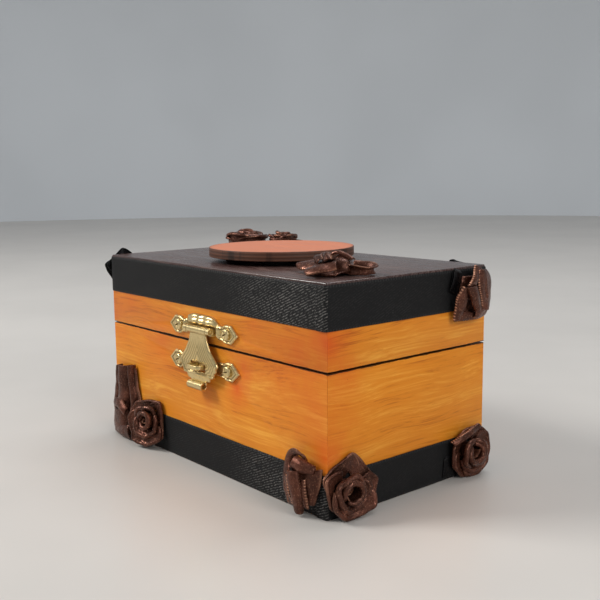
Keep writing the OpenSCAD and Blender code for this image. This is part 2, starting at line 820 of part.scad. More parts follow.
base_bottom_panel();
base_front_wall();
base_back_wall();
base_left_wall();
base_right_wall();
base_ribbon();
lid_top_panel();
lid_front_wall();
lid_back_wall();
lid_left_wall();
lid_right_wall();
lid_ribbon();
plaque();
plaque_pads();
hasp_lid_plate();
hasp_pin();
hasp_flap();
hasp_catch_plate();
hasp_staple();
hasp_lid_screws();
hasp_catch_screws();
hinge_left_lid_leaf();
hinge_left_base_leaf();
hinge_left_pin();
hinge_right_lid_leaf();
hinge_right_base_leaf();
hinge_right_pin();
hinge_lid_screws();
hinge_base_screws();
rose_right_front();
rose_front_right();
rose_front_left();
rose_left_front();
rose_right_back();
rose_back_right();
rose_back_left();
rose_left_back();
rose_lid_right();
rose_lid_back();
rose_lid_left();
rose_lid_near();
rose_lid_far();
rose_lid_far_second();
leaf_base_right();
leaf_lid_right();
ribbon_fold_left();
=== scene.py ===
"""Keepsake box with ribbon bands, satin ribbon roses, a round plaque and a brass hasp."""

import math

import bmesh
import bpy
import numpy as np
from bpy.props import FloatProperty, FloatVectorProperty, PointerProperty
from mathutils import Matrix, Vector, noise


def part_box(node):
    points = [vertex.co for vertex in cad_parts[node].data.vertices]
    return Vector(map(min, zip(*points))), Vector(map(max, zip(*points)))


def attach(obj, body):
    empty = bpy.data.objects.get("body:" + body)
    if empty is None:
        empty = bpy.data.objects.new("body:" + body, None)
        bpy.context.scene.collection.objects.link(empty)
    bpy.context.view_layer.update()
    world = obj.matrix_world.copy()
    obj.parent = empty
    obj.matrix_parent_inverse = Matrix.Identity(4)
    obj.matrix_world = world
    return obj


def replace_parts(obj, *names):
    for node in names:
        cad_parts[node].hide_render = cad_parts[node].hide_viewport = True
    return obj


bl_info = {
    "name": "Keepsake box",
    "version": (1, 0, 0),
    "blender": (4, 5, 0),
    "location": "View3D > Sidebar > Keepsake box",
    "description": "Dresses the packed model of a small wooden keepsake box",
    "category": "Object",
}

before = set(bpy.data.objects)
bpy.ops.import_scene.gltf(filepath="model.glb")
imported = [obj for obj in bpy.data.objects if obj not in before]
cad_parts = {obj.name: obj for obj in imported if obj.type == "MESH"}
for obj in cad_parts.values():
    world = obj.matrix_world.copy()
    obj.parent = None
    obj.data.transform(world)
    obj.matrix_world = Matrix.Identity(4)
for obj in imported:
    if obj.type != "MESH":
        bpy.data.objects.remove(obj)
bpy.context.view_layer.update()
MM = 0.001
SAME_PLACE = 1e-6
FULL_TURN = 2 * math.pi


# ---- Sizes taken from the model's nodes ----


def node_box(name):
    """Lowest and highest corners of a CAD node, in millimetres."""
    low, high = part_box(name)
    return Vector(low) / MM, Vector(high) / MM


# All in millimetres; the bare box reaches from -RIGHT to RIGHT, from -BACK to BACK and up to TOP
RIGHT, BACK, TOP = node_box("lid_top_panel")[1]
SEAM = (node_box("base_front_wall")[1].z + node_box("lid_front_wall")[0].z) / 2
BAND_DEPTH = node_box("base_ribbon")[1].x - RIGHT
PIN = sum(node_box("hasp_pin"), Vector()) / 2
PIN_OUT = -PIN.y - BACK
CATCH = sum(node_box("hasp_catch_plate"), Vector()) / 2

# Depth from the outside at which the wood is no longer stained: a wall's and the lid panel's
STAINED_WALL = 4.9
STAINED_PANEL = 2.9


# ---- Settings that a user would change ----


def colour_setting(name, description, default):
    return FloatVectorProperty(
        name=name, description=description, default=default, size=3, min=0, max=1, subtype="COLOR_GAMMA"
    )


def length_setting(name, description, default):
    return FloatProperty(name=name, description=description, default=default, min=0, unit="LENGTH")


class KeepsakeWood(bpy.types.PropertyGroup):
    light: colour_setting("Light stain", "Stain where the wood took it up least", (0.95, 0.66, 0.25))
    middle: colour_setting("Stain", "Main colour of the stained walls", (0.89, 0.54, 0.14))
    deep: colour_setting("Deep stain", "Stain in the grain lines", (0.72, 0.38, 0.08))
    red: colour_setting("Red stain", "Reddish patches near corners and hardware", (0.87, 0.34, 0.1))
    paint: colour_setting("Dark paint", "Dark line left along the seam", (0.1, 0.06, 0.04))
    bare: colour_setting("Bare wood", "Unstained wood inside the box", (0.8, 0.66, 0.46))
    lid: colour_setting("Lid", "Dark brown of the lid's top", (0.28, 0.2, 0.185))
    lid_light: colour_setting("Lid grain", "Paler grain of the lid's top", (0.44, 0.35, 0.32))


class KeepsakeRibbon(bpy.types.PropertyGroup):
    band: colour_setting("Band", "Black ribbon of the two bands", (0.07, 0.07, 0.074))
    # painted sheen and glints: this paler colour shows them on the bands and on the black satin, besides the
    # real threads
    thread: colour_setting("Band thread", "Paler threads of the black ribbon", (0.47, 0.46, 0.45))
    satin: colour_setting("Satin", "Brown satin of the roses", (0.365, 0.215, 0.165))
    # painted sheen and glints: this paler colour shows them on the roses' folds, besides the real stitches
    satin_light: colour_setting("Satin edge", "Paler folds and threads of the satin", (0.76, 0.55, 0.44))
    black: colour_setting("Black satin", "Black satin of the dark roses and leaves", (0.085, 0.08, 0.085))
    thickness: length_setting("Ribbon", "Thickness of the folded ribbon", 0.0005)
    weave: length_setting("Weave", "Distance between the ribbon's threads", 0.0004)


class KeepsakePlaque(bpy.types.PropertyGroup):
    face: colour_setting("Face", "Painted face of the plaque", (0.8, 0.488, 0.36))
    edge: colour_setting("Edge", "Scorched edge of the plaque", (0.36, 0.23, 0.17))
    foam: colour_setting("Foam", "Foam pads under the plaque", (0.14, 0.12, 0.11))


class KeepsakeBrass(bpy.types.PropertyGroup):
    polished: colour_setting("Brass", "Polished brass", (0.86, 0.77, 0.56))
    # the recess colour is painted shade in the hollows, and the tone of random dull patches
    recess: colour_setting("Recess", "Darker brass in the recesses", (0.42, 0.32, 0.15))
    net: length_setting("Net", "Spacing of the points of a stamped sheet", 0.0003)


class KeepsakeStage(bpy.types.PropertyGroup):
    floor: colour_setting("Floor", "Pale floor", (0.79, 0.775, 0.755))
    wall: colour_setting("Backdrop", "Pale grey backdrop", (0.9, 0.92, 0.94))
    camera_lens: FloatProperty(name="Lens", description="Focal length", default=52.11, min=10, unit="CAMERA")


class KeepsakeSettings(bpy.types.PropertyGroup):
    wood: PointerProperty(type=KeepsakeWood)
    ribbon: PointerProperty(type=KeepsakeRibbon)
    plaque: PointerProperty(type=KeepsakePlaque)
    brass: PointerProperty(type=KeepsakeBrass)
    stage: PointerProperty(type=KeepsakeStage)


def settings():
    return bpy.context.scene.keepsake


# ---- Modelling helpers ----


def ray_at(degrees):
    """Unit vector in the plane at an angle; its parts are the angle's cosine and sine."""
    return Vector((math.cos(math.radians(degrees)), math.sin(math.radians(degrees))))


def clear_selection():
    if bpy.context.object and bpy.context.object.mode != "OBJECT":
        bpy.ops.object.mode_set(mode="OBJECT")
    bpy.ops.object.select_all(action="DESELECT")


def choose(obj):
    clear_selection()
    obj.select_set(True)
    bpy.context.view_layer.objects.active = obj


def named(name):
    """Names the active object and moves its place into its mesh."""
    obj = bpy.context.object
    choose(obj)
    bpy.ops.object.transform_apply(location=True, rotation=True, scale=True)
    obj.name = obj.data.name = name
    return obj


def apply_modifier(obj, kind, **values):
    choose(obj)
    modifier = obj.modifiers.new(kind.title(), kind)
    for key, value in values.items():
        setattr(modifier, key, value)
    bpy.ops.object.modifier_apply(modifier=modifier.name)


def smooth(obj, degrees=40):
    choose(obj)
    bpy.ops.object.shade_smooth_by_angle(angle=math.radians(degrees))


def paint(obj, material):
    obj.data.materials.clear()
    obj.data.materials.append(material)


def placed(name, mesh):
    """New object for a mesh whose points are in their place already."""
    obj = bpy.data.objects.new(name, mesh)
    bpy.context.collection.objects.link(obj)
    return obj


def join(name, parts):
    clear_selection()
    for part in parts:
        part.select_set(True)
    bpy.context.view_layer.objects.active = parts[0]
    if len(parts) > 1:
        bpy.ops.object.join()
    parts[0].name = parts[0].data.name = name
    return parts[0]


def ribbon_uvs(rows):
    """UV of each point: the way along the ribbon and the distance in from its row's last point."""
    middle = len(rows[0]) // 2
    uvs = []
    along = 0.0
    for before, row in zip(rows[:1] + rows, rows):
        along += (row[middle] - before[middle]).length
        across = 0.0
        line = [(along, across)]
        for p, q in zip(reversed(row), reversed(row[:-1])):
            across += (p - q).length
            line.append((along, across))
        uvs += reversed(line)
    return uvs


def ribbon_sheet(name, rows, thickness, levels=1, stitched=0.0):
    """Folded ribbon from rows of points in millimetres that run across it.

    Stitched is how clearly the selvage shows along each row's last point.
    """
    rows = [[Vector(p) for p in row] for row in rows]
    count = len(rows[0])
    faces = []
    for i in range(len(rows) - 1):
        for a in range(i * count, i * count + count - 1):
            faces.append((a, a + count, a + count + 1, a + 1))
    mesh = bpy.data.meshes.new(name)
    mesh.from_pydata([p * MM for row in rows for p in row], [], faces)
    uvs = ribbon_uvs(rows)
    layer = mesh.uv_layers.new(name="ribbon")
    for loop in mesh.loops:
        layer.data[loop.index].uv = uvs[loop.vertex_index]
    selvage = mesh.attributes.new("selvage", "FLOAT", "POINT")
    selvage.data.foreach_set("value", [stitched] * len(uvs))
    obj = placed(name, mesh)
    apply_modifier(obj, "SOLIDIFY", thickness=thickness, offset=0.0)
    if levels:
        apply_modifier(obj, "SUBSURF", levels=levels, render_levels=levels)
    smooth(obj, 80)
    return obj


def softened(node, width, degrees=35, segments=2, dissolve=True):
    """Copy of a CAD node with its edges broken, which stands for the node."""
    obj = placed(node + "_finished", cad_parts[node].data.copy())
    obj.data.name = obj.name
    choose(obj)
    bpy.ops.object.mode_set(mode="EDIT")
    bpy.ops.mesh.select_all(action="SELECT")
    bpy.ops.mesh.remove_doubles(threshold=SAME_PLACE)
    if dissolve:
        bpy.ops.mesh.dissolve_limited(angle_limit=math.radians(1))
    bpy.ops.object.mode_set(mode="OBJECT")
    apply_modifier(
        obj, "BEVEL", width=width, segments=segments, limit_method="ANGLE",
        angle_limit=math.radians(degrees), use_clamp_overlap=True,
    )
    smooth(obj, 40)
    return obj


# ---- Node trees ----


class Tree:
    """Adds nodes to a material or a node group; inputs are sockets to link or values to set."""

    def __init__(self, tree):
        self.tree = tree

    def add(self, kind, inputs=None, **settings_of):
        node = self.tree.nodes.new(kind)
        for key, value in settings_of.items():
            setattr(node, key, value)
        for key, value in (inputs or {}).items():
            socket = node.inputs[key]
            if isinstance(value, bpy.types.NodeSocket):
                self.tree.links.new(value, socket)
            else:
                socket.default_value = value
        return node

    def maths(self, operation, a, b=0.0, clamp=False):
        return self.add("ShaderNodeMath", {0: a, 1: b}, operation=operation, use_clamp=clamp).outputs[0]

    def plus(self, a, b):
        return self.maths("ADD", a, b)

    def minus(self, a, b):
        return self.maths("SUBTRACT", a, b)

    def times(self, a, b):
        return self.maths("MULTIPLY", a, b)

    def larger(self, a, b):
        return self.maths("MAXIMUM", a, b)

    def below(self, a, b):
        return self.maths("LESS_THAN", a, b)

    def above(self, a, b):
        return self.maths("GREATER_THAN", a, b)

    def absolute(self, a):
        return self.maths("ABSOLUTE", a)

    def sine(self, a):
        return self.maths("SINE", a)

    def mix(self, factor, a, b):
        return self.add("ShaderNodeMix", {0: factor, 6: a, 7: b}, data_type="RGBA").outputs[2]

    def axes(self, vector):
        return self.add("ShaderNodeSeparateXYZ", {0: vector}).outputs

    def attribute(self, name):
        return self.add("ShaderNodeAttribute", attribute_name=name).outputs["Fac"]

    def noise(self, vector, scale, detail=2.0, roughness=0.5):
        inputs = {"Vector": vector, "Scale": scale, "Detail": detail, "Roughness": roughness}
        return self.add("ShaderNodeTexNoise", inputs).outputs["Fac"]

    def stretched_noise(self, vector, scale, detail=2.0, roughness=0.5):
        return self.noise(self.stretch(vector, scale), 1.0, detail, roughness)

    def span(self, value, low, high, to_low=0.0, to_high=1.0):
        return self.add(
            "ShaderNodeMapRange",
            {"Value": value, "From Min": low, "From Max": high, "To Min": to_low, "To Max": to_high},
            interpolation_type="SMOOTHSTEP",
        ).outputs["Result"]

    def stretch(self, vector, scale, turn=(0, 0, 0)):
        return self.add("ShaderNodeMapping", {"Vector": vector, "Scale": scale, "Rotation": turn}).outputs[0]

    def group(self, build, inputs):
        """Places the group that a function builds, which is built the first time only."""
        name = build.__name__.removeprefix("build_")
        tree = bpy.data.node_groups.get(name) or build(name)
        return self.add("ShaderNodeGroup", inputs, node_tree=tree).outputs

    def place(self):
        return self.add("ShaderNodeTexCoord").outputs["Object"]

    def ribbon_place(self):
        return self.add("ShaderNodeUVMap", uv_map="ribbon").outputs["UV"]

    def bump(self, height, strength, distance):
        return self.add(
            "ShaderNodeBump", {"Height": height, "Strength": strength, "Distance": distance}
        ).outputs["Normal"]


def linear(colour, share=1.0):
    """Scene-linear colour for a shader socket from a share of a colour as it is seen."""
    seen = [min(1, c * share) for c in colour]
    return tuple(c / 12.92 if c <= 0.04045 else ((c + 0.055) / 1.055) ** 2.4 for c in seen) + (1.0,)


def new_group(name, inputs, outputs):
    """Empty node group and its input sockets; inputs and outputs give each socket's kind."""
    tree = bpy.data.node_groups.new(name, "ShaderNodeTree")
    for way, sockets in (("INPUT", inputs), ("OUTPUT", outputs)):
        for socket, kind in sockets.items():
            tree.interface.new_socket(name=socket, in_out=way, socket_type=kind)
    return Tree(tree), tree.nodes.new("NodeGroupInput").outputs


def close_group(t, **outputs):
    """Links what a group puts out and gives back its tree."""
    t.add("NodeGroupOutput", outputs)
    return t.tree


def new_material(name, **constants):
    """Material's nodes, with each constant set on the Principled shader's own socket."""
    material = bpy.data.materials.new(name)
    material.use_nodes = True
    shader = material.node_tree.nodes["Principled BSDF"]
    for key, value in constants.items():
        shader.inputs[key.replace("_", " ")].default_value = value
    return material, Tree(material.node_tree)


def close_material(material, colour, roughness, normal):
    """Links what varies over the surface to the Principled shader; None leaves a socket's own value."""
    nodes, links = material.node_tree.nodes, material.node_tree.links
    for key, value in (("Base Color", colour), ("Roughness", roughness), ("Normal", normal)):
        if value is not None:
            links.new(value, nodes["Principled BSDF"].inputs[key])
    return material


COLOUR, VALUE, VECTOR = "NodeSocketColor", "NodeSocketFloat", "NodeSocketVector"


def build_wood_grain(name):
    """Wood grain along X: soft bands, long streaks and short pores."""
    t, start = new_group(
        name,
        {"Vector": VECTOR, "Light": COLOUR, "Middle": COLOUR, "Deep": COLOUR, "Contrast": VALUE},
        {"Color": COLOUR, "Height": VALUE, "Streaks": VALUE},
    )
    place = start["Vector"]
    bend = t.stretched_noise(place, (14, 40, 40), 2, 0.5)
    shift = t.times(bend, 12 * MM)
    sideways = t.add("ShaderNodeCombineXYZ", {"Y": shift, "Z": shift}).outputs[0]
    bent = t.add("ShaderNodeVectorMath", {0: place, 1: sideways}, operation="ADD").outputs[0]
    bands = t.stretched_noise(bent, (10, 120, 120), 3, 0.55)
    streaks = t.stretched_noise(bent, (24, 1100, 1100), 4, 0.65)
    pores = t.stretched_noise(place, (150, 3400, 3400), 2, 0.6)
    patches = t.stretched_noise(place, (22, 30, 30), 3, 0.5)
    tone = t.plus(t.times(bands, 0.32), t.times(streaks, 0.46))
    tone = t.plus(tone, t.times(patches, 0.22))
    tone = t.plus(t.times(t.minus(tone, 0.5), start["Contrast"]), 0.5)
    deep_to_middle = t.mix(t.span(tone, 0.28, 0.48), start["Deep"], start["Middle"])
    colour = t.mix(t.span(tone, 0.48, 0.72), deep_to_middle, start["Light"])
    colour = t.mix(t.span(pores, 0.62, 0.8, 0, 0.55), colour, start["Deep"])
    height = t.plus(t.times(streaks, 0.6), t.times(pores, -0.5))
    return close_group(t, Color=colour, Height=height, Streaks=streaks)


def build_soft_patch(name):
    """Soft round patch at a place, 1 at its middle."""
    t, start = new_group(name, {"Vector": VECTOR, "Centre": VECTOR, "Size": VALUE}, {"Mask": VALUE})
    gap = t.add("ShaderNodeVectorMath", {0: start["Vector"], 1: start["Centre"]}, operation="DISTANCE")
    uneven = t.noise(start["Vector"], 160, 3, 0.6)
    reach = t.times(gap.outputs["Value"], t.plus(uneven, 0.5))
    mask = t.maths("SUBTRACT", 1.0, t.maths("DIVIDE", reach, start["Size"]), clamp=True)
    return close_group(t, Mask=t.times(mask, mask))


def build_ribbon_weave(name):
    """Ribbon cloth on its UV in millimetres: fine threads both ways and paler specks, which are painted
    glints.
    """
    t, start = new_group(
        name, {"Vector": VECTOR, "Pitch": VALUE, "Flecks": VALUE}, {"Height": VALUE, "Fleck": VALUE}
    )
    turns = t.maths("DIVIDE", FULL_TURN, start["Pitch"])
    parts = t.axes(start["Vector"])
    along = t.sine(t.times(parts["X"], turns))
    across = t.sine(t.times(parts["Y"], turns))
    height = t.plus(t.times(across, 0.5), t.times(along, 0.3))
    # painted glints: sparse pale specks where the satin would catch the light
    glint = t.stretched_noise(start["Vector"], (1.5, 2.3, 1), 2, 0.6)
    low = t.minus(0.8, t.times(start["Flecks"], 0.3))
    glint = t.add(
        "ShaderNodeMapRange", {"Value": glint, "From Min": low, "From Max": t.plus(low, 0.08)}
    ).outputs[0]
    return close_group(t, Height=height, Fleck=glint)


# ---- Materials ----

# Places in millimetres, reach in millimetres and strength of the reddish stain
RED_PATCHES = [
    ((67, -38.5, 57), 19, 0.85),
    ((66, -38.5, 20), 15, 0.8),
    ((52, -38.5, 53), 20, 0.5),
    ((62, -38.5, 36), 28, 0.4),
    ((42, -38.5, 44), 22, 0.3),
    ((20, -38.5, 34), 12, 0.85),
    ((24, -38.5, 43), 12, 0.6),
    ((-30, -38.5, 45), 26, 0.5),
    ((-52, -38.5, 58), 24, 0.35),
    ((30, -38.5, 58), 20, 0.35),
    ((67.5, -30, 45), 12, 0.3),
    ((-67, -38.5, 50), 20, 0.5),
    ((2, -38.5, 26), 12, 0.3),
]

# Turns of a sine for each millimetre: the twill's lines across the bands, the stitches along a band's
# edge and those along the satin's selvage
TWILL_TURNS = FULL_TURN / 0.85
BAND_STITCH_TURNS = 5.2
SATIN_STITCH_TURNS = 6.6

FINISHES = {}


def finish_once(make):
    """Makes a finish the first time that it is asked for."""

    def get():
        if make.__name__ not in FINISHES:
            FINISHES[make.__name__] = make()
        return FINISHES[make.__name__]

    return get


def bare_wood(t, place):
    """Colour of unstained wood."""
    bare = settings().wood.bare
    return t.group(build_wood_grain, {
        "Vector": place, "Light": linear(bare, 1.1), "Middle": linear(bare), "Deep": linear(bare, 0.8),
        "Contrast": 1.0,
    })["Color"]


@finish_once
def stained_wood():
    wood = settings().wood
    material, t = new_material("stained_wood_finish", Specular_IOR_Level=0.22)
    place = t.place()
    parts = t.axes(place)
    # the grain runs along each wall, so its coordinates turn on the end walls
    from_end, from_side = t.absolute(parts["X"]), t.absolute(parts["Y"])
    on_end = t.above(t.minus(from_end, from_side), (RIGHT - BACK) * MM)
    turned = t.add("ShaderNodeCombineXYZ", {"X": parts["Y"], "Y": parts["X"], "Z": parts["Z"]}).outputs[0]
    along = t.add("ShaderNodeMix", {0: on_end, 4: place, 5: turned}, data_type="VECTOR").outputs[1]
    grain = t.group(build_wood_grain, {
        "Vector": along, "Light": linear(wood.light), "Middle": linear(wood.middle),
        "Deep": linear(wood.deep), "Contrast": 1.45,
    })
    colour = grain["Color"]
    for centre, size, amount in RED_PATCHES:
        where = {"Vector": place, "Centre": Vector(centre) * MM, "Size": size * MM}
        patch = t.group(build_soft_patch, where)["Mask"]
        colour = t.mix(t.times(patch, amount), colour, linear(wood.red))
    # dark paint that ran along the seam, and bare wood inside
    wobble = t.stretched_noise(place, (90, 90, 500), 4, 0.7)
    from_seam = t.absolute(t.minus(parts["Z"], SEAM * MM))
    seam = t.below(from_seam, t.times(wobble, 0.9 * MM))
    specks = t.above(t.noise(place, 420, 3, 0.7), 0.74)
    near_seam = t.span(from_seam, 4.5 * MM, 0.0)
    dark = t.larger(seam, t.times(specks, near_seam))
    colour = t.mix(t.times(dark, 0.9), colour, linear(wood.paint))
    inside = t.times(
        t.below(from_end, (RIGHT - STAINED_WALL) * MM), t.below(from_side, (BACK - STAINED_WALL) * MM)
    )
    colour = t.mix(inside, colour, bare_wood(t, along))
    rough = t.plus(t.times(grain["Streaks"], 0.2), 0.34)
    rough = t.larger(rough, t.times(inside, 0.75))
    return close_material(material, colour, rough, t.bump(grain["Height"], 0.25, 0.2 * MM))


@finish_once
def dark_wood():
    wood = settings().wood
    material, t = new_material("dark_wood_finish", Specular_IOR_Level=0.5)
    place = t.place()
    grain = t.group(build_wood_grain, {
        "Vector": place, "Light": linear(wood.lid_light), "Middle": linear(wood.lid),
        "Deep": linear(wood.lid, 0.6), "Contrast": 1.3,
    })
    under = t.below(t.axes(place)["Z"], (TOP - STAINED_PANEL) * MM)
    colour = t.mix(under, grain["Color"], bare_wood(t, place))
    rough = t.span(grain["Streaks"], 0.3, 0.7, 0.2, 0.36)
    return close_material(material, colour, rough, t.bump(grain["Height"], 0.35, 0.2 * MM))


@finish_once
def band_ribbon():
    """Black grosgrain of the bands: UV runs round the box and up the ribbon, in millimetres."""
    ribbon = settings().ribbon
    material, t = new_material("band_ribbon_finish", Specular_IOR_Level=0.2)
    uv = t.ribbon_place()
    parts = t.axes(uv)
    weave = t.group(build_ribbon_weave, {"Vector": uv, "Pitch": ribbon.weave / MM, "Flecks": 0.5})
    # painted sheen: diagonal streaks of light on the twill, clear on the front near the right corner and
    # faint elsewhere
    slant = t.stretch(uv, (1, 1, 1), (0, 0, math.radians(24)))
    rows = t.times(t.axes(slant)["Y"], TWILL_TURNS)
    lines = t.span(t.sine(t.plus(rows, t.times(t.noise(uv, 0.35), 5.0))), -0.1, 0.8)
    broken = t.span(t.stretched_noise(slant, (0.9, 2.2, 1), 2, 0.6), 0.42, 0.6)
    place = t.stretched_noise(uv, (0.06, 0.15, 1), 2, 0.5)
    painted_sheen_streak = t.times(t.times(lines, broken), t.span(place, 0.35, 0.6, 0.4, 1.0))
    where = t.axes(t.place())
    near = t.times(t.below(where["Y"], -BACK * MM), t.span(where["X"], 5 * MM, 50 * MM))
    painted_sheen_streak = t.times(painted_sheen_streak, t.larger(near, 0.08))
    # stitches along both edges of the ribbon, whose middle lies 7.4 mm up
    edge = t.span(t.absolute(t.minus(parts["Y"], 7.4)), 6.3, 6.9)
    dash = t.span(t.sine(t.times(parts["X"], BAND_STITCH_TURNS)), 0.2, 0.8)
    # the paler colour shows the painted sheen streaks and painted glints, as well as the real stitches
    pale = t.larger(t.times(painted_sheen_streak, 0.95), t.times(weave["Fleck"], 0.2))
    pale = t.larger(pale, t.times(t.times(edge, dash), 0.12))
    colour = t.mix(pale, linear(ribbon.band), linear(ribbon.thread))
    rough = t.span(pale, 0, 0.4, 0.62, 0.45)
    height = t.plus(weave["Height"], t.times(painted_sheen_streak, 0.6))
    return close_material(material, colour, rough, t.bump(height, 0.4, 0.06 * MM))


def satin(name, base, pale, glints, rim_sheen_amount):
    """Satin of the roses: UV runs along the ribbon and in from its selvage, in millimetres."""
    material, t = new_material(name, Metallic=0.6, Specular_IOR_Level=0.3)
    uv = t.ribbon_place()
    parts = t.axes(uv)
    place = t.place()
    selvage = t.attribute("selvage")
    pitch = settings().ribbon.weave / MM
    weave = t.group(build_ribbon_weave, {"Vector": uv, "Pitch": pitch, "Flecks": glints})
    shade = t.noise(place, 130, 3, 0.6)
    crumple = t.noise(place, 420, 3, 0.6)
    here_and_there = t.span(t.noise(place, 160, 2, 0.5), 0.45, 0.65)
    # stitches along the selvage, clear where the attribute says so and here and there elsewhere
    dash = t.span(t.sine(t.times(parts["X"], SATIN_STITCH_TURNS)), -0.1, 0.6)
    stitch = t.times(t.span(parts["Y"], 0.95, 0.55), dash)
    stitch = t.times(stitch, t.larger(selvage, t.times(here_and_there, 0.45)))
    # painted highlight: the ribbon is paler along its rolled edge, here and there, which stands for its
    # sheen
    fold = t.times(t.span(parts["Y"], 1.3, 0.2, 0, rim_sheen_amount), here_and_there)
    # painted sparkles: pale specks on the creases
    painted_sparkle = t.times(t.span(t.noise(place, 1300, 2, 0.6), 0.6, 0.68), glints * 0.7)
    # the pale colour shows the painted glints, sheen and sparkles as well as the real stitches
    lit = t.larger(t.times(weave["Fleck"], 0.5), fold)
    lit = t.larger(lit, t.times(painted_sparkle, t.span(crumple, 0.42, 0.62, 0.1, 1)))
    lit = t.larger(lit, stitch)
    dim = t.mix(t.span(shade, 0.35, 0.7), linear(base, 0.78), linear(base, 1.08))
    colour = t.mix(lit, dim, pale)
    rough = t.span(crumple, 0.3, 0.7, 0.22, 0.4)
    height = t.plus(t.times(weave["Height"], 0.5), t.times(stitch, 1.2))
    height = t.plus(height, t.times(crumple, 7.0))
    return close_material(material, colour, rough, t.bump(height, 0.55, 0.07 * MM))


@finish_once
def brown_satin():
    ribbon = settings().ribbon
    return satin("brown_satin_finish", ribbon.satin, linear(ribbon.satin_light), 0.65, 0.4)


@finish_once
def black_satin():
    ribbon = settings().ribbon
    return satin("black_satin_finish", ribbon.black, linear(ribbon.thread, 0.7), 0.35, 0.25)


@finish_once
def brass():
    """Brass with painted shade in its recesses: the attribute that marks them is 1 in the deepest groove."""
    metal = settings().brass
    material, t = new_material("brass_finish", Metallic=1.0)
    place = t.place()
    cavity = t.attribute("cavity")
    stain = t.noise(place, 420, 4, 0.65)
    scuff = t.stretched_noise(place, (900, 900, 2200), 3, 0.6)
    # painted shade in the recesses, with random dull patches, darkens the brass
    tarnish_and_shade = t.larger(t.times(cavity, 0.85), t.span(stain, 0.55, 0.75, 0, 0.3))
    colour = t.mix(tarnish_and_shade, linear(metal.polished), linear(metal.recess))
    rough = t.plus(t.times(tarnish_and_shade, 0.2), t.span(scuff, 0.3, 0.7, 0.26, 0.4))
    height = t.plus(t.times(stain, 0.8), t.times(scuff, 0.25))
    return close_material(material, colour, rough, t.bump(height, 0.3, 0.1 * MM))


@finish_once
def plaque_paint():
    tones = settings().plaque
    low, high = (corner * MM for corner in node_box("plaque"))
    centre = (low + high) / 2
    radius = (high.x - low.x) / 2
    ply_height = 1.3 * MM
    material, t = new_material("plaque_paint_finish", Specular_IOR_Level=0.35)
    place = t.place()
    parts = t.axes(place)
    level = t.add("ShaderNodeCombineXYZ", {"X": parts["X"], "Y": parts["Y"]}).outputs[0]
    reach = t.add(
        "ShaderNodeVectorMath", {0: level, 1: (centre.x, centre.y, 0)}, operation="DISTANCE"
    ).outputs["Value"]
    uneven = t.plus(reach, t.times(t.noise(place, 300, 2), 0.4 * MM))
    side = t.larger(t.below(parts["Z"], high.z - 0.12 * MM), t.above(uneven, radius))
    # three plies and upright scorch marks round the edge
    ply = t.sine(t.times(t.minus(parts["Z"], low.z), FULL_TURN / ply_height))
    scorch = t.stretched_noise(place, (130, 130, 12), 3, 0.7)
    edge = t.mix(t.span(ply, -0.4, 0.8), linear(tones.edge, 0.88), linear(tones.edge, 1.12))
    edge = t.mix(t.span(scorch, 0.5, 0.64, 0, 0.8), edge, linear(tones.edge, 0.4))
    brush = t.stretched_noise(place, (60, 260, 60), 4, 0.6)
    face = t.mix(t.span(brush, 0.35, 0.7), linear(tones.face, 0.95), linear(tones.face))
    rim = t.span(reach, radius - 2.2 * MM, radius - 0.2 * MM, 0, 0.35)
    face = t.mix(rim, face, linear(tones.face, 0.6))
    rough = t.span(brush, 0.3, 0.7, 0.5, 0.62)
    height = t.plus(t.times(brush, 0.5), t.times(t.times(ply, side), 0.5))
    return close_material(material, t.mix(side, face, edge), rough, t.bump(height, 0.3, 0.2 * MM))


@finish_once
def pad_foam():
    tone = settings().plaque.foam
    material, t = new_material("pad_foam_finish", Roughness=0.9)
    cells = t.add("ShaderNodeTexVoronoi", {"Vector": t.place(), "Scale": 2600.0}).outputs["Distance"]
    colour = t.mix(t.span(cells, 0.1, 0.6), linear(tone, 0.8), linear(tone))
    return close_material(material, colour, None, t.bump(cells, 0.6, 0.2 * MM))


def clouded(name, tone, cloud, constants):
    """Plain surface of the stage, with a faint cloud of a given scale, detail and roughness."""
    material, t = new_material(name, **constants)
    cloud = t.noise(t.place(), *cloud)
    colour = t.mix(t.span(cloud, 0.3, 0.7), linear(tone, 0.97), linear(tone))
    return close_material(material, colour, None, None)


# ---- Wood ----


class KEEPSAKE_OT_wood(bpy.types.Operator):
    """Stains the walls and the panels, with their edges broken a little"""

    bl_idname = "keepsake.wood"
    bl_label = "Wood"

    def execute(self, context):
        stained = [(f"{body}_{side}_wall", body) for body in ("base", "lid")
            for side in ("front", "back", "left", "right")]
        for node, body in stained + [("base_bottom_panel", "base")]:
            piece = softened(node, 0.25 * MM)
            paint(piece, stained_wood())
            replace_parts(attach(piece, body), node)
        top = softened("lid_top_panel", 0.45 * MM, segments=3)
        paint(top, dark_wood())
        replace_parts(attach(top, "lid"), "lid_top_panel")
        return {"FINISHED"}


# ---- Ribbon bands ----

# In millimetres: where the lap ends on the front, how far from the right corner the ribbon starts under it,
# the ribbon's thickness, the distance of its middle from the wood and its radius round the box's corners
LAP_END = 62.9
LAP_HIDDEN = 2.2
BAND_SHEET = 0.42
BAND_OFFSET = 0.28
BAND_RADIUS = 0.75
BAND_ROWS = 8
CORNER_STEPS = 4

# Each corner on plan: its side in x and y, the angle at which the band enters it, the points on the way to
# it and how far it steps out in it, which makes room for the lap
BAND_CORNERS = [
    (-1, -1, 270, 60, 0),
    (-1, 1, 180, 36, 0),
    (1, 1, 90, 60, 0),
    (1, -1, 0, 36, BAND_SHEET),
]


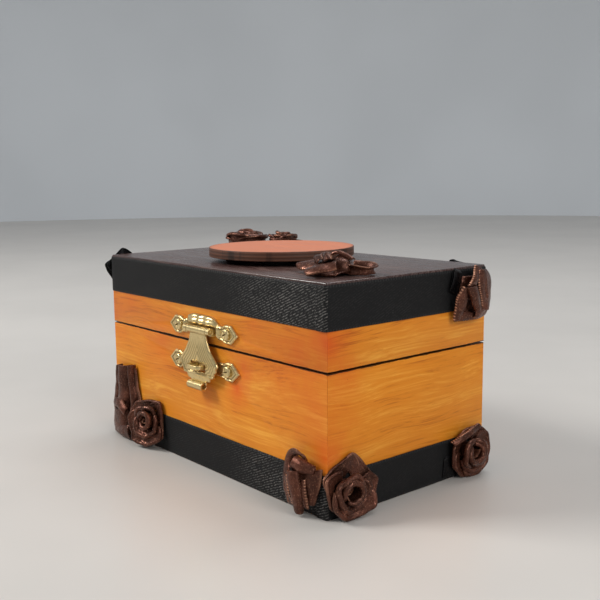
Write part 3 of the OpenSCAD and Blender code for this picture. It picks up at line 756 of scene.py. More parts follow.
def band_path():
    """Points of the band on plan: from under its lap on the front, round the box, to the lap's end."""
    x, y = RIGHT + BAND_OFFSET, BACK + BAND_OFFSET
    path = []

    def run(a, b, count):
        for i in range(count):
            path.append(a.lerp(b, i / count))

    at = Vector((RIGHT - LAP_HIDDEN, -y))
    for sx, sy, entry, count, step in BAND_CORNERS:
        centre = Vector((sx * (x - BAND_RADIUS), sy * (y - BAND_RADIUS)))
        turn = []
        for i in range(CORNER_STEPS + 1):
            k = i / CORNER_STEPS
            turn.append(centre + ray_at(entry - 90 * k) * BAND_RADIUS - Vector((0, step * k)))
        run(at, turn[0], count)
        path += turn[1:]
        at = turn[-1]
    lap = Vector((LAP_END, at.y))
    run(Vector((at.x - 0.3, at.y)), lap, 8)
    return path + [lap]


def band_rows(low, high):
    """Rows across the band, each from its lower to its upper edge, with a slight wave."""
    rows = []
    for px, py in reversed(band_path()):
        on_end = abs(px) / (RIGHT + 1) > abs(py) / (BACK + 1)
        out = Vector((math.copysign(1, px), 0, 0)) if on_end else Vector((0, math.copysign(1, py), 0))
        row = []
        for j in range(BAND_ROWS + 1):
            v = j / BAND_ROWS
            wave = noise.noise(Vector((px * 0.09, py * 0.09, v * 2.2 + low))) * 0.1
            ripple = noise.noise(Vector((px * 0.25, py * 0.25, low + 3 * (v > 0.5))))
            z = low + (high - low) * v + 0.12 * ripple * abs(2 * v - 1) ** 3
            row.append(Vector((px, py, min(max(z, low + 0.02), high + 0.1))) + out * max(wave, -0.04))
        rows.append(row)
    return rows


class KEEPSAKE_OT_ribbon_bands(bpy.types.Operator):
    """Wraps the two black ribbons round the base and the lid"""

    bl_idname = "keepsake.ribbon_bands"
    bl_label = "Ribbon bands"

    def execute(self, context):
        for node, body in (("base_ribbon", "base"), ("lid_ribbon", "lid")):
            low, high = node_box(node)
            rows = band_rows(low.z + 0.05, high.z - 0.05)
            band = ribbon_sheet(node + "_woven", rows, BAND_SHEET * MM)
            paint(band, band_ribbon())
            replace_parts(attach(band, body), node)
        return {"FINISHED"}


# ---- Ribbon roses ----

# Places on a face: across it, up it and out from the wood, in millimetres
FACES = {
    "right": lambda u, v, w: (RIGHT + w, u, v),
    "left": lambda u, v, w: (-RIGHT - w, -u, v),
    "front": lambda u, v, w: (u, -BACK - w, v),
    "back": lambda u, v, w: (-u, BACK + w, v),
    "lid": lambda u, v, w: (u, v, TOP + w),
}

# Corners of the usual rose's outer petals: angle, reach and height, as shares of the rose's
SQUARE = [(0, 1.0, 0.3), (80, 0.96, 0.26), (150, 0.88, 0.4), (215, 0.95, 0.5), (288, 0.92, 0.55)]
BULKY = [(0, 1.0, 0.66), (70, 0.94, 0.8), (140, 0.97, 0.62), (210, 1.0, 0.82), (285, 0.96, 0.7)]
ROUND = [(20, 0.96, 0.42), (75, 0.78, 0.36), (130, 0.9, 0.4), (195, 1.04, 0.46), (250, 0.98, 0.6),
    (310, 0.95, 0.55)]

# Inner petals: start angle, span, how far out each starts and ends (0 at the heart, 1 at the outline), and
# its height
SPIRAL = [(40, 170, 0.05, 0.24, 0.97), (165, 170, 0.08, 0.28, 0.91), (290, 170, 0.12, 0.32, 0.87),
    (95, 165, 0.4, 0.62, 0.8), (213, 165, 0.42, 0.64, 0.74), (331, 165, 0.45, 0.66, 0.7)]

# What a rose has unless it says otherwise. The heart lies off the rose's centre; the lean is the way that
# the rose is turned and by how many degrees; the knob is the bud's height as a share of how far the rose
# stands out; square is 1 for an outline with straight sides and 0 for a round one; steep is how upright the
# outer petals stand.
USUAL_ROSE = {
    "turn": 0, "heart": (0, 0), "lean": (0, 0), "knob": 0.6, "out": 7.0, "corners": SQUARE, "square": 0.9,
    "steep": 0.5, "petals": SPIRAL, "colour": "brown",
}

ROSES = [
    {"node": "rose_right_front", "body": "base", "face": "right", "centre": (-28.6, 10.4), "radius": 11.5,
        "heart": (-4.0, -1.6), "knob": 0.3, "out": 6.6, "square": 1.0,
        "petals": [(240, 335, 0.0, 0.12, 0.97), (0, 170, 0.26, 0.38, 0.88), (130, 120, 0.4, 0.5, 0.76),
        (200, 105, 0.55, 0.66, 0.72), (285, 100, 0.5, 0.6, 0.66)], "corners": [(359, 0.9, 0.12),
        (89, 0.96, 0.12), (162, 1.27, 0.4), (207, 1.1, 0.72), (239, 1.1, 0.8), (309, 0.96, 0.4)]},
    {"node": "rose_front_left", "body": "base", "face": "front", "centre": (-38.2, 10.4), "radius": 10.6,
        "heart": (1.8, 1.2), "lean": (20, 16), "knob": 0.8, "square": 0.95,
        "petals": [(200, 345, 0.0, 0.1, 0.97), (30, 150, 0.42, 0.52, 0.7), (165, 150, 0.42, 0.56, 0.76),
        (275, 120, 0.4, 0.5, 0.68)], "corners": [(50, 1.2, 0.3), (128, 0.94, 0.36), (175, 0.96, 0.45),
        (235, 0.98, 0.6), (284, 0.98, 0.6), (330, 1.12, 0.4)]},
    {"node": "rose_left_front", "body": "base", "face": "left", "centre": (25.5, 10.6), "radius": 10.6,
        "turn": 200},
    {"node": "rose_right_back", "body": "base", "face": "right", "centre": (28.9, 9.6), "radius": 11.2,
        "turn": 10, "heart": (-0.8, -0.8), "knob": 0.45, "square": 0.25, "corners": ROUND,
        "petals": [(100, 330, 0.0, 0.1, 0.97), (230, 200, 0.2, 0.32, 0.9), (70, 180, 0.34, 0.46, 0.84),
        (190, 165, 0.56, 0.66, 0.7)]},
    {"node": "rose_back_right", "body": "base", "face": "back", "centre": (-56.7, 9.6), "radius": 9.4,
        "turn": 100},
    {"node": "rose_back_left", "body": "base", "face": "back", "centre": (56.9, 10.2), "radius": 10.0,
        "turn": 150},
    {"node": "rose_left_back", "body": "base", "face": "left", "centre": (-28.1, 10.6), "radius": 10.4,
        "turn": 310},
    {"node": "rose_lid_back", "body": "lid", "face": "back", "centre": (-53.4, 69.0), "radius": 9.0,
        "turn": 60, "colour": "black"},
    {"node": "rose_lid_left", "body": "lid", "face": "left", "centre": (31.8, 70.2), "radius": 8.8,
        "turn": 10, "colour": "black"},
    {"node": "rose_lid_far", "body": "lid", "face": "lid", "centre": (-56.6, 24.8), "radius": 10.6,
        "turn": 30, "corners": BULKY, "knob": 0.9, "out": 8.2, "square": 0.3, "steep": 0.85},
    {"node": "rose_lid_far_second", "body": "lid", "face": "lid", "centre": (-38.2, 30.6), "radius": 7.4,
        "turn": 120, "corners": BULKY, "knob": 0.9, "out": 8.0, "square": 0.3, "steep": 0.85},
]

# Folds of ribbon that are listed one by one, with their body and their face. Each runs between two edges,
# given by a few points on the face; then its crown, the degrees that it wraps round and how clearly the
# second edge's stitched selvage shows.
FOLDS = {
    # a rose that looks away to the left: long petals stream down to the right from an open roll
    "rose_front_right": ("base", "front", [
        ([(52, 17, 1.2), (50.5, 10, 1.2), (53, 3, 1.2)],
            [(63, 17, 1.2), (64.5, 11, 1.2), (61, 4, 1.2)], 1.2, 120, 0),
        ([(60.4, 18.6, 2.0), (57.2, 20.0, 2.2), (54.0, 17.6, 2.6), (54.9, 13.5, 5.6), (55.6, 8.4, 5.8),
            (56.0, 3.4, 4.4)],
            [(61.0, 20.2, 3.6), (56.8, 22.2, 4.2), (52.6, 20.4, 3.4), (49.2, 14.6, 2.2), (48.8, 8.4, 2.0),
            (51.2, 2.0, 2.2)], 0.7, 170, 0.2),
        ([(57.8, 20.2, 4.8), (61.4, 19.3, 4.2), (64.6, 17.6, 2.4)],
            [(56.8, 16.8, 6.2), (60.2, 15.6, 5.6), (64.6, 15.4, 3.0)], 1.5, 230, 0.2),
        ([(50.4, 12.4, 3.4), (50.6, 8.0, 3.6), (52.4, 3.0, 3.2)],
            [(52.6, 13.4, 4.4), (53.0, 8.6, 4.8), (54.0, 3.4, 4.0)], 0.6, 200, 0.6),
        ([(59.4, 15.2, 3.8), (60.0, 9.4, 4.4), (60.8, 4.6, 3.4)],
            [(66.8, 17.2, 1.5), (66.0, 12.0, 1.6), (63.2, 4.2, 1.9)], 0.6, 120, 0.1),
        ([(53.4, 13.4, 5.0), (54.2, 9.0, 5.4), (55.0, 3.6, 4.0)],
            [(55.8, 14.0, 7.0), (56.6, 9.2, 6.8), (56.6, 3.6, 5.0)], 0.5, 170, 1.0),
        ([(55.4, 15.4, 6.4), (56.4, 11.4, 6.8), (56.9, 7.0, 5.8), (56.9, 1.6, 4.4)],
            [(59.8, 16.0, 6.0), (60.8, 11.6, 6.2), (61.0, 7.2, 5.2), (59.6, 1.0, 3.8)], 1.4, 230, 0.5),
        ([(59.6, 13.0, 4.6), (60.6, 9.0, 5.0), (60.8, 4.4, 4.2)],
            [(61.6, 13.2, 4.2), (62.4, 9.0, 4.6), (62.4, 3.4, 3.6)], 0.6, 200, 0.6),
    ]),
    # a rose seen from its side: long petals with stitched selvages run down to the left
    "rose_lid_right": ("lid", "right", [
        ([(24, 73, 1.0), (22.5, 66, 1.0), (22.6, 57.6, 1.0)],
            [(35, 73, 1.0), (36, 66, 1.0), (34.5, 58.4, 1.0)], 1.6, 120, 0),
        ([(31.6, 75.0, 3.4), (28.6, 72.0, 4.6), (25.6, 69.2, 5.0)],
            [(27.2, 76.8, 3.8), (23.7, 73.2, 6.0), (20.6, 70.2, 6.4)], 0.9, 160, 1.0),
        ([(21.8, 69.0, 5.2), (22.8, 65.6, 4.8), (22.6, 61.6, 3.8), (21.6, 58.0, 2.4)],
            [(20.2, 70.2, 5.0), (18.4, 67.0, 4.0), (18.4, 63.6, 3.0), (19.0, 57.6, 1.6)], 0.8, 160, 1.0),
        ([(20.8, 69.8, 6.2), (22.8, 66.0, 6.2), (26.9, 60.6, 5.0)],
            [(25.4, 70.4, 6.0), (27.6, 66.6, 5.6), (29.6, 61.6, 4.6)], 1.4, 230, 0.3),
        ([(35.0, 74.6, 2.2), (39.0, 71.6, 1.6), (38.4, 65.5, 1.8), (36.6, 59.8, 1.8)],
            [(28.0, 75.2, 4.6), (27.2, 70.4, 5.6), (28.8, 66.0, 5.4), (31.4, 60.6, 4.4)], 1.6, 170, 1.0),
        ([(21.4, 61.4, 2.4), (27.0, 60.2, 3.8), (33.0, 61.2, 4.0), (37.0, 62.6, 2.2)],
            [(19.8, 57.6, 1.4), (27.0, 57.4, 2.2), (33.4, 58.0, 2.2), (36.8, 59.8, 1.4)], 1.0, 190, 0.3),
        ([(26.4, 61.4, 5.0), (29.0, 61.0, 5.2), (32.6, 62.0, 4.4)],
            [(26.4, 58.6, 4.4), (29.4, 58.2, 4.4), (33.0, 59.4, 3.6)], 0.8, 190, 0.6),
        ([(30.0, 73.6, 5.0), (30.6, 69.0, 5.6), (32.4, 64.6, 5.0)],
            [(32.6, 73.8, 4.4), (33.6, 69.4, 5.0), (34.8, 64.8, 4.4)], 0.7, 200, 0.6),
    ]),
    # a bow with a knot: a pointed leaf, a rolled petal at the front, a round fold and an open loop
    "rose_lid_near": ("lid", "lid", [
        ([(44, -28, 0.4), (52, -31, 0.4), (59, -27, 0.4)],
            [(46, -16, 0.5), (53, -14, 0.5), (60, -16, 0.5)], 1.2, 120, 0),
        ([(49.0, -18.6, 4.6), (43.4, -19.8, 4.4), (39.4, -21.4, 3.2), (36.0, -23.4, 2.4)],
            [(50.0, -25.0, 3.0), (45.0, -26.0, 1.4), (41.0, -26.2, 1.2), (37.0, -24.6, 1.4)],
            0.9, 200, 0.4),
        ([(58.6, -26.0, 5.0), (54.8, -28.2, 4.0), (52.0, -30.4, 3.0), (50.4, -31.8, 1.8)],
            [(61.0, -28.4, 3.0), (59.0, -31.4, 1.9), (56.2, -34.0, 1.2), (53.6, -34.8, 0.8)],
            1.0, 190, 0.25),
        ([(46.0, -20.0, 4.4), (48.0, -23.6, 6.2), (52.0, -26.2, 4.8)],
            [(47.4, -18.0, 5.0), (50.4, -21.2, 6.8), (53.6, -23.8, 6.0)], 0.8, 230, 1.0),
        ([(45.4, -23.6, 3.6), (48.4, -26.8, 5.4), (52.4, -29.0, 4.2)],
            [(46.8, -22.0, 4.8), (49.8, -25.0, 6.4), (53.6, -27.2, 5.4)], 0.6, 220, 1.0),
        ([(50.4, -24.6, 5.2), (53.0, -26.8, 6.6), (56.0, -29.0, 5.0)],
            [(51.6, -23.2, 6.2), (54.0, -25.4, 7.2), (57.4, -27.2, 5.6)], 0.6, 220, 0.8),
        ([(55.6, -24.6, 0.8), (55.0, -24.2, 2.8), (54.2, -23.4, 4.4), (53.0, -22.2, 5.2),
            (52.2, -20.8, 4.8)],
            [(58.8, -21.6, 0.8), (59.2, -20.8, 2.8), (58.2, -19.8, 4.4), (56.4, -18.6, 5.2),
            (54.8, -17.6, 4.6)], 1.5, 210, 0.6),
        ([(50.6, -22.8, 6.2), (54.6, -21.8, 7.0), (58.8, -19.8, 4.8)],
            [(51.2, -21.4, 6.8), (55.0, -20.4, 7.6), (59.2, -18.4, 5.2)], 0.5, 220, 0.8),
        ([(55.4, -20.6, 0.7), (60.4, -21.4, 0.6), (64.4, -18.2, 0.6), (64.0, -14.0, 0.7),
            (60.4, -12.8, 0.8), (55.6, -15.6, 0.9)],
            [(54.8, -21.0, 3.2), (60.2, -21.8, 3.7), (65.0, -18.0, 2.9), (64.6, -13.2, 3.1),
            (60.4, -11.8, 4.0), (54.6, -14.6, 4.2)], 1.1, 170, 0.1),
    ]),
    "rose_right_back": ("base", "right", [
        ([(18.8, 12.8, 3.4), (22.6, 14.4, 4.4), (27.2, 15.7, 4.4), (34.2, 16.7, 2.6)],
            [(17.8, 14.2, 2.4), (21.8, 15.9, 3.2), (26.6, 17.1, 3.2), (33.2, 18.2, 2.0)], 0.6, 200, 1.0),
    ]),
    "rose_lid_far_second": ("lid", "lid", [
        ([(-34, 31, 4.2), (-22, 33.4, 3.2), (-9, 35.2, 2.8)],
            [(-34, 33.8, 2.6), (-22, 35.6, 2.0), (-9, 37.0, 1.8)], 0.5, 180, 0.4),
    ]),
    # upright pleats by the left corner, with a crumpled loop at their foot
    "ribbon_fold_left": ("base", "front", [
        ([(-63.8, 29.4, 0.8), (-64.2, 23.0, 0.8), (-65.4, 18.0, 0.8), (-67.0, 13.0, 0.8),
            (-66.6, 9.0, 0.8)],
            [(-60.6, 30.4, 0.8), (-59.8, 24.0, 0.8), (-61.4, 18.0, 0.8), (-62.6, 13.0, 0.8),
            (-61.4, 9.0, 0.8)], 2.0, 200, 0),
        ([(-61.2, 30.2, 0.8), (-61.6, 24.0, 0.8), (-61.8, 18.0, 0.8), (-63.4, 13.0, 0.8),
            (-62.0, 10.0, 0.8)],
            [(-54.2, 30.8, 0.8), (-54.6, 24.0, 0.8), (-54.2, 18.0, 0.8), (-56.0, 13.0, 0.8),
            (-56.0, 10.0, 0.8)], 3.0, 210, 0.2),
        ([(-52.8, 31.2, 0.8), (-52.6, 24.0, 0.8), (-51.6, 17.0, 0.8), (-52.0, 10.0, 0.8)],
            [(-50.4, 31.6, 0.8), (-49.8, 24.0, 0.8), (-48.2, 17.0, 0.8), (-49.6, 10.0, 0.8)],
            2.6, 220, 0.3),
        ([(-50.4, 30.6, 0.7), (-49.6, 23.0, 0.7), (-48.2, 16.0, 0.7)],
            [(-49.4, 30.2, 0.7), (-48.2, 23.0, 0.7), (-46.4, 16.0, 0.7)], 0.6, 200, 0.2),
        ([(-66.0, 12.6, 0.9), (-58.0, 13.0, 0.9), (-51.0, 12.6, 0.9)],
            [(-65.6, 4.0, 0.9), (-58.0, 4.0, 0.9), (-50.0, 4.0, 0.9)], 0.4, 120, 0),
        ([(-66.2, 11.0, 1.2), (-66.6, 7.0, 1.4), (-66.4, 0.8, 1.2)],
            [(-54.6, 11.4, 2.2), (-54.0, 7.0, 2.8), (-53.0, 1.2, 2.8)], 2.4, 200, 0.2),
        ([(-66.2, 11.4, 1.4), (-63.0, 12.4, 3.8), (-58.0, 12.2, 4.8), (-53.6, 9.8, 4.4)],
            [(-65.6, 14.4, 1.4), (-62.0, 15.8, 2.8), (-57.0, 15.4, 3.4), (-52.6, 12.8, 3.4)],
            0.8, 200, 0.3),
        ([(-66.6, 7.6, 1.4), (-62.0, 5.6, 3.0), (-57.0, 5.0, 4.2), (-50.0, 6.6, 4.6)],
            [(-64.8, 0.6, 1.4), (-61.0, 0.4, 2.6), (-56.0, 0.4, 3.6), (-48.0, 0.6, 4.2)], 1.4, 200, 0.3),
    ]),
}


def outline_reach(rose, angle):
    """Reach of a rose's outline at an angle: its square is 1 for straight sides and 0 for round ones."""
    angle = (angle - rose["turn"]) % 360
    corners = rose["corners"]
    for (a0, r0, _), (a1, r1, _) in zip(corners, corners[1:] + corners[:1]):
        a1 = a1 + 360 if a1 <= a0 else a1
        at = angle if angle >= a0 else angle + 360
        if at <= a1:
            break
    p, q, ray = ray_at(a0) * r0, ray_at(a1) * r1, ray_at(at)
    side = q - p
    straight = (p.x * side.y - p.y * side.x) / (ray.x * side.y - ray.y * side.x)
    bowed = (r0 + (r1 - r0) * (at - a0) / (a1 - a0)) * 0.96
    return rose["radius"] * (straight * rose["square"] + bowed * (1 - rose["square"]))


PETAL_RISE = 6
LIP_ANGLES = (130, 85, 40, -5, -50)
# Radius of the heart's collar as a share of the rose's
COLLAR = 0.36


def petal_rows(rose, start, span, w0, w1, peak, base, lip, seed, droop):
    """One folded petal with a rolled lip: w is 0 at the heart's collar and 1 at the rose's outline."""
    rows = []
    steps = max(14, int(span / 7))
    heart = rose["centre"] + rose["heart"]
    for i in range(steps + 1):
        u = i / steps
        angle = start + span * u
        ray = ray_at(angle)
        w = w0 + (w1 - w0) * u
        tuck = abs(2 * u - 1) ** 4
        centre = heart.lerp(rose["centre"], w)
        reach = (COLLAR * rose["radius"] * (1 - w) + outline_reach(rose, angle) * w) * (1 - 0.2 * tuck)
        roll = lip * (1 - 0.5 * tuck) * (1 + 0.3 * noise.noise(Vector((angle * 0.03, seed, 1.7))))
        wall = centre + ray * (reach - 2 * roll)
        foot = heart.lerp(rose["centre"], w * 0.5) + ray * (reach * base)
        top = peak * (1 - droop * tuck) * rose["out"]
        top += noise.noise(Vector((angle * 0.035, seed * 3.7, w * 4))) * 0.45 * (0.4 + w)
        top = max(top, roll + 0.5)
        row = []
        for j in range(PETAL_RISE + 1):
            v = j / PETAL_RISE
            p = foot.lerp(wall, v ** (1.1 + 1.3 * w))
            z = 0.35 + (top - roll - 0.35) * math.sin(v * math.pi / 2) ** (1.15 - 0.25 * w)
            crease = noise.noise(Vector((p.x * 0.3 + seed, p.y * 0.3, z * 0.35 + seed))) * 0.4
            p = p + ray * crease * (0.3 + 0.7 * v)
            row.append((p.x, p.y, z))
        for degrees in LIP_ANGLES:
            lip_out, lip_up = ray_at(degrees) * roll
            p = wall + ray * (roll + lip_out + crease)
            row.append((p.x, p.y, top - roll + lip_up))
        rows.append(row)
    return rows


def bud_rows(rose):
    """The ribbon wound on edge at the heart of the rose; its knob stands as high as the rose says."""
    rows = []
    seed = rose["seed"]
    steps = 32
    for i in range(steps + 1):
        t = i / steps
        a = 9.4 * t + seed
        reach = rose["radius"] * (0.015 + 0.175 * t)
        top = rose["out"] * (rose["knob"] + (0.86 - rose["knob"]) * t * t)
        top += noise.noise(Vector((a * 0.8, seed, 0))) * 0.5
        ray = Vector((math.cos(a), math.sin(a)))
        row = []
        for j in range(PETAL_RISE + 1):
            v = j / PETAL_RISE
            p = rose["centre"] + rose["heart"] + ray * (reach * (0.75 + 0.25 * v) + 0.4 * t * v * v)
            row.append((p.x, p.y, 0.8 + (top - 0.8) * v - 0.25 * max(0, 5 * v - 4)))
        rows.append(row)
    return rows


def rose_rows(rose):
    """The bud, then the inner and the outer petals, on the face."""
    turn, seed = rose["turn"], rose["seed"]
    lip = rose["radius"] * 0.085
    parts = [bud_rows(rose)]
    for i, (start, span, w0, w1, peak) in enumerate(rose["petals"]):
        base = 0.8 if w1 < 0.3 else 0.1 + rose["steep"]
        parts.append(petal_rows(rose, turn + start, span, w0, w1, peak, base, lip, seed + i, 0.35))
    corners = rose["corners"]
    for i, (angle, _, peak) in enumerate(corners):
        side = (corners[(i + 1) % len(corners)][0] - angle) % 360
        roll = 0.2 + 0.75 * lip * peak
        parts.append(petal_rows(rose, turn + angle - 28, side + 56, 0.94, 1.0, peak, rose["steep"], roll,
            seed + 9 + i, 0.3))
    return parts


def leaned(rose, point):
    """A point of the rose after the rose is turned on the face towards its lean."""
    toward, degrees = rose["lean"]
    way = ray_at(toward)
    cos, sin = ray_at(degrees)
    flat = Vector(point[:2]) - rose["centre"]
    s = flat.dot(way)
    z = point[2] * cos - s * sin + 0.45 * rose["radius"] * sin
    flat += way * (s * cos + point[2] * sin - s) + rose["centre"]
    low = 0.25 + 0.06 * point[2]
    return flat.x, flat.y, max(z, low)


def on_curve(points, share):
    """Point at a share of the way along a smooth curve through a few points."""
    points = [Vector(p) for p in points]
    at = share * (len(points) - 1)
    i = min(int(at), len(points) - 2)
    k = at - i
    b, c = points[i], points[i + 1]
    a = points[i - 1] if i else b * 2 - c
    d = points[i + 2] if i + 2 < len(points) else c * 2 - b
    return (b * 2 + (c - a) * k + (a * 2 - b * 5 + c * 4 - d) * k * k + (b * 3 - a - c * 3 + d) * k ** 3) / 2


def fold_rows(first, second, rise, wrap, seed):
    """Rows of a fold between two edges, with an arched section."""
    half = math.radians(wrap / 2)
    steps = 6 * (len(first) - 1) + 4
    across = 10
    foot = math.cos(half) if wrap < 180 else 0
    up = Vector((0, 0, 1))
    rows = []
    for i in range(steps + 1):
        share = i / steps
        a, b = on_curve(first, share), on_curve(second, share)
        ahead, behind = min(1, share + 0.03), max(0, share - 0.03)
        run = on_curve(first, ahead) + on_curve(second, ahead)
        run = run - on_curve(first, behind) - on_curve(second, behind)
        side = (b - a) / 2
        normal = run.cross(side).normalized()
        up = normal if normal.dot(up) > 0 else -normal
        row = []
        for j in range(across + 1):
            angle = half * (2 * j / across - 1)
            x = math.sin(angle) / math.sin(min(half, math.pi / 2))
            lift = (math.cos(angle) - foot) / (1 - foot)
            p = (a + b) / 2 + side * x + up * (rise * lift)
            crease = noise.noise(Vector((p.x * 0.25, p.y * 0.25 + seed, p.z * 0.5 + j * 0.1)))
            row.append(p + up * crease * 0.45)
        rows.append(row)
    return rows


def folded_sheets(name, node):
    """The folds of ribbon that are listed one by one for a node."""
    _, face, folds = FOLDS[node]
    thickness = settings().ribbon.thickness
    sheets = []
    for i, (first, second, rise, wrap, stitched) in enumerate(folds):
        rows = fold_rows(first, second, rise, wrap, i * 2.3)
        put = [[FACES[face](p.x, p.y, max(p.z, 0.5 * thickness / MM + 0.05)) for p in row] for row in rows]
        sheets.append(ribbon_sheet(f"{name}_fold_{i}", put, thickness, stitched=stitched))
    return sheets


def keep_above_table(piece):
    """Ribbon that would dip under the table is pressed flat just above it."""
    level, least = 0.3 * MM, 0.05 * MM
    for v in piece.data.vertices:
        if v.co.z < level:
            v.co.z = max(level + (v.co.z - level) * 0.02, least)


def finish_ribbon(name, sheets, node, body, colour):
    piece = join(name, sheets)
    keep_above_table(piece)
    paint(piece, brown_satin() if colour == "brown" else black_satin())
    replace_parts(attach(piece, body), node)


class KEEPSAKE_OT_roses(bpy.types.Operator):
    """Folds the satin ribbon roses and the bow on the lid"""

    bl_idname = "keepsake.roses"
    bl_label = "Ribbon roses"

    def execute(self, context):
        for own in ROSES:
            self.rose({**USUAL_ROSE, **own})
        for node in ("rose_front_right", "rose_lid_right", "rose_lid_near"):
            name = node + "_satin"
            finish_ribbon(name, folded_sheets(name, node), node, FOLDS[node][0], "brown")
        return {"FINISHED"}

    def rose(self, rose):
        name = rose["node"] + "_satin"
        rose["centre"], rose["heart"] = Vector(rose["centre"]), Vector(rose["heart"])
        rose["seed"] = sum(map(ord, name)) % 97 * 0.37
        lift = 0.0 if rose["face"] == "lid" else BAND_DEPTH
        place = FACES[rose["face"]]
        thickness = settings().ribbon.thickness
        sheets = []
        for i, rows in enumerate(rose_rows(rose)):
            put = [[leaned(rose, p) for p in row] for row in rows]
            put = [[place(x, y, z + lift) for x, y, z in row] for row in put]
            sheets.append(ribbon_sheet(f"{name}_{i}", put, thickness))
        if rose["node"] in FOLDS:
            sheets += folded_sheets(name, rose["node"])
        finish_ribbon(name, sheets, rose["node"], rose["body"], rose["colour"])


# ---- Leaves and the folded ribbon ----

# Each leaf on the right side: its body, a seed for its creases and its corners on the face
LEAVES = {
    "leaf_base_right": ("base", 1.0,
        [(15.6, 0.9, 0.6), (23.6, 0.7, 1.2), (22.6, 9.6, 1.6), (16.4, 8.2, 0.8)]),
    "leaf_lid_right": ("lid", 2.0,
        [(17.0, 68.2, 1.6), (21.4, 66.8, 1.2), (23.6, 74.6, 1.4), (19.0, 76.0, 2.6)]),
}
LEAF_ROWS = 8
LEAF_SHEET = 0.4


def leaf_rows(corners, seed, puff):
    """Rows over a four-cornered leaf that rises to its middle."""
    a, b, c, d = (Vector(p) for p in corners)
    rows = []
    for i in range(LEAF_ROWS + 1):
        u = i / LEAF_ROWS
        row = []
        for j in range(LEAF_ROWS + 1):
            v = j / LEAF_ROWS
            p = (a * (1 - u) + b * u) * (1 - v) + (d * (1 - u) + c * u) * v
            p.z += puff * math.sin(math.pi * u) * math.sin(math.pi * v)
            p.z += 0.3 * noise.noise(Vector((p.x * 0.4, p.y * 0.4, seed)))
            row.append(p)
        rows.append(row)
    return rows


class KEEPSAKE_OT_leaves(bpy.types.Operator):
    """Folds the black leaves and the upright brown pleats"""

    bl_idname = "keepsake.leaves"
    bl_label = "Leaves and pleats"

    def execute(self, context):
        on_face = FACES["right"]
        for node, (body, seed, corners) in LEAVES.items():
            over = [[on_face(*p) for p in row] for row in leaf_rows(corners, seed, 0.5)]
            under = [[on_face(p.x + 0.4, p.y + 0.3, p.z * 0.5 + 0.2) for p in row]
                for row in leaf_rows(corners, seed + 4, 0.1)]
            sheets = [ribbon_sheet(node + "_sheet", rows, LEAF_SHEET * MM) for rows in (over, under)]
            finish_ribbon(node + "_satin", sheets, node, body, "black")
        name = "ribbon_fold_left_satin"
        finish_ribbon(name, folded_sheets(name, "ribbon_fold_left"), "ribbon_fold_left", "base", "brown")
        return {"FINISHED"}


# ---- Plaque ----


class KEEPSAKE_OT_plaque(bpy.types.Operator):
    """Cuts the round plaque and its foam pads"""

    bl_idname = "keepsake.plaque"
    bl_label = "Plaque"

    def execute(self, context):
        low, high = (corner * MM for corner in node_box("plaque"))
        clear_selection()
        bpy.ops.mesh.primitive_cylinder_add(
            vertices=160, radius=(high.x - low.x) / 2, depth=high.z - low.z, location=(low + high) / 2
        )
        disc = named("plaque_disc")
        choose(disc)
        bpy.ops.object.mode_set(mode="EDIT")
        bpy.ops.mesh.select_mode(type="FACE")
        bpy.ops.mesh.select_all(action="DESELECT")
        bpy.ops.object.mode_set(mode="OBJECT")
        for face in disc.data.polygons:
            face.select = abs(face.normal.z) > 0.9
        bpy.ops.object.mode_set(mode="EDIT")
        for thickness in (0.8 * MM, 8 * MM):
            bpy.ops.mesh.inset(thickness=thickness)
        bpy.ops.object.mode_set(mode="OBJECT")
        apply_modifier(disc, "BEVEL", width=0.22 * MM, segments=3, limit_method="ANGLE", angle_limit=0.7)
        smooth(disc, 30)
        paint(disc, plaque_paint())
        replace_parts(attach(disc, "lid"), "plaque")
        self.pads()
        return {"FINISHED"}

    def pads(self):
        low, high = (corner * MM for corner in node_box("plaque_pads"))
        middle = (low + high) / 2
        radius, waist = 5 * MM, 1 / 0.97
        reach = (high.x - low.x) / 2 - radius
        pads = []
        for sx, sy in ((-1, -1), (-1, 1), (1, -1), (1, 1)):
            centre = middle + Vector((sx, sy, 0)) * reach
            clear_selection()
            bpy.ops.mesh.primitive_cylinder_add(
                vertices=48, radius=radius / waist, depth=high.z - low.z, location=centre
            )
            pad = named(f"pad_{sx}_{sy}")
            bpy.ops.object.mode_set(mode="EDIT")
            bpy.ops.mesh.select_all(action="SELECT")
            bpy.ops.mesh.bisect(plane_co=middle, plane_no=(0, 0, 1))
            bpy.ops.object.mode_set(mode="OBJECT")
            # the foam bulges a little halfway up
            for v in pad.data.vertices:
                if abs(v.co.z - middle.z) < SAME_PLACE:
                    v.co = centre + (v.co - centre) * waist
            apply_modifier(pad, "BEVEL", width=0.18 * MM, segments=2, limit_method="ANGLE", angle_limit=0.7)
            pads.append(pad)
        foam = join("plaque_foam_pads", pads)
        smooth(foam, 35)
        paint(foam, pad_foam())
        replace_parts(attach(foam, "lid"), "plaque_pads")


# ---- Brass ----


# The hasp's sizes in millimetres: how far its plates' and its flap's faces stand off the wood, how far down
# the flap's tail is, its slot from the pin (left, low, right, high), and its rolls' outer and inner radius
PLATE_FACE = 0.8
PLATE_BACK = 0.02
FLAP_FACE = 3.0
FLAP_BACK = 2.2
FLAP_LENGTH = 20.5
FLAP_SLOT = (-4.8, -15.5, 4.8, -12.0)
ROLL = (1.4, 0.65)
TAIL_ROLL = (1.5, 0.9)
ROLL_WIDTH = 2.2
LOBE = 3.5


def segment_distance(points, outline, closed=True):
    """Distance of each point from the nearest side of an outline."""
    best = np.full(len(points), 1e9)
    for a, b in zip(outline, outline[1:] + outline[:1] * closed):
        a, b = np.array(a), np.array(b)
        side = b - a
        k = np.clip(((points - a) @ side) / (side @ side), 0, 1)
        best = np.minimum(best, np.hypot(*(points - a - k[:, None] * side).T))
    return best


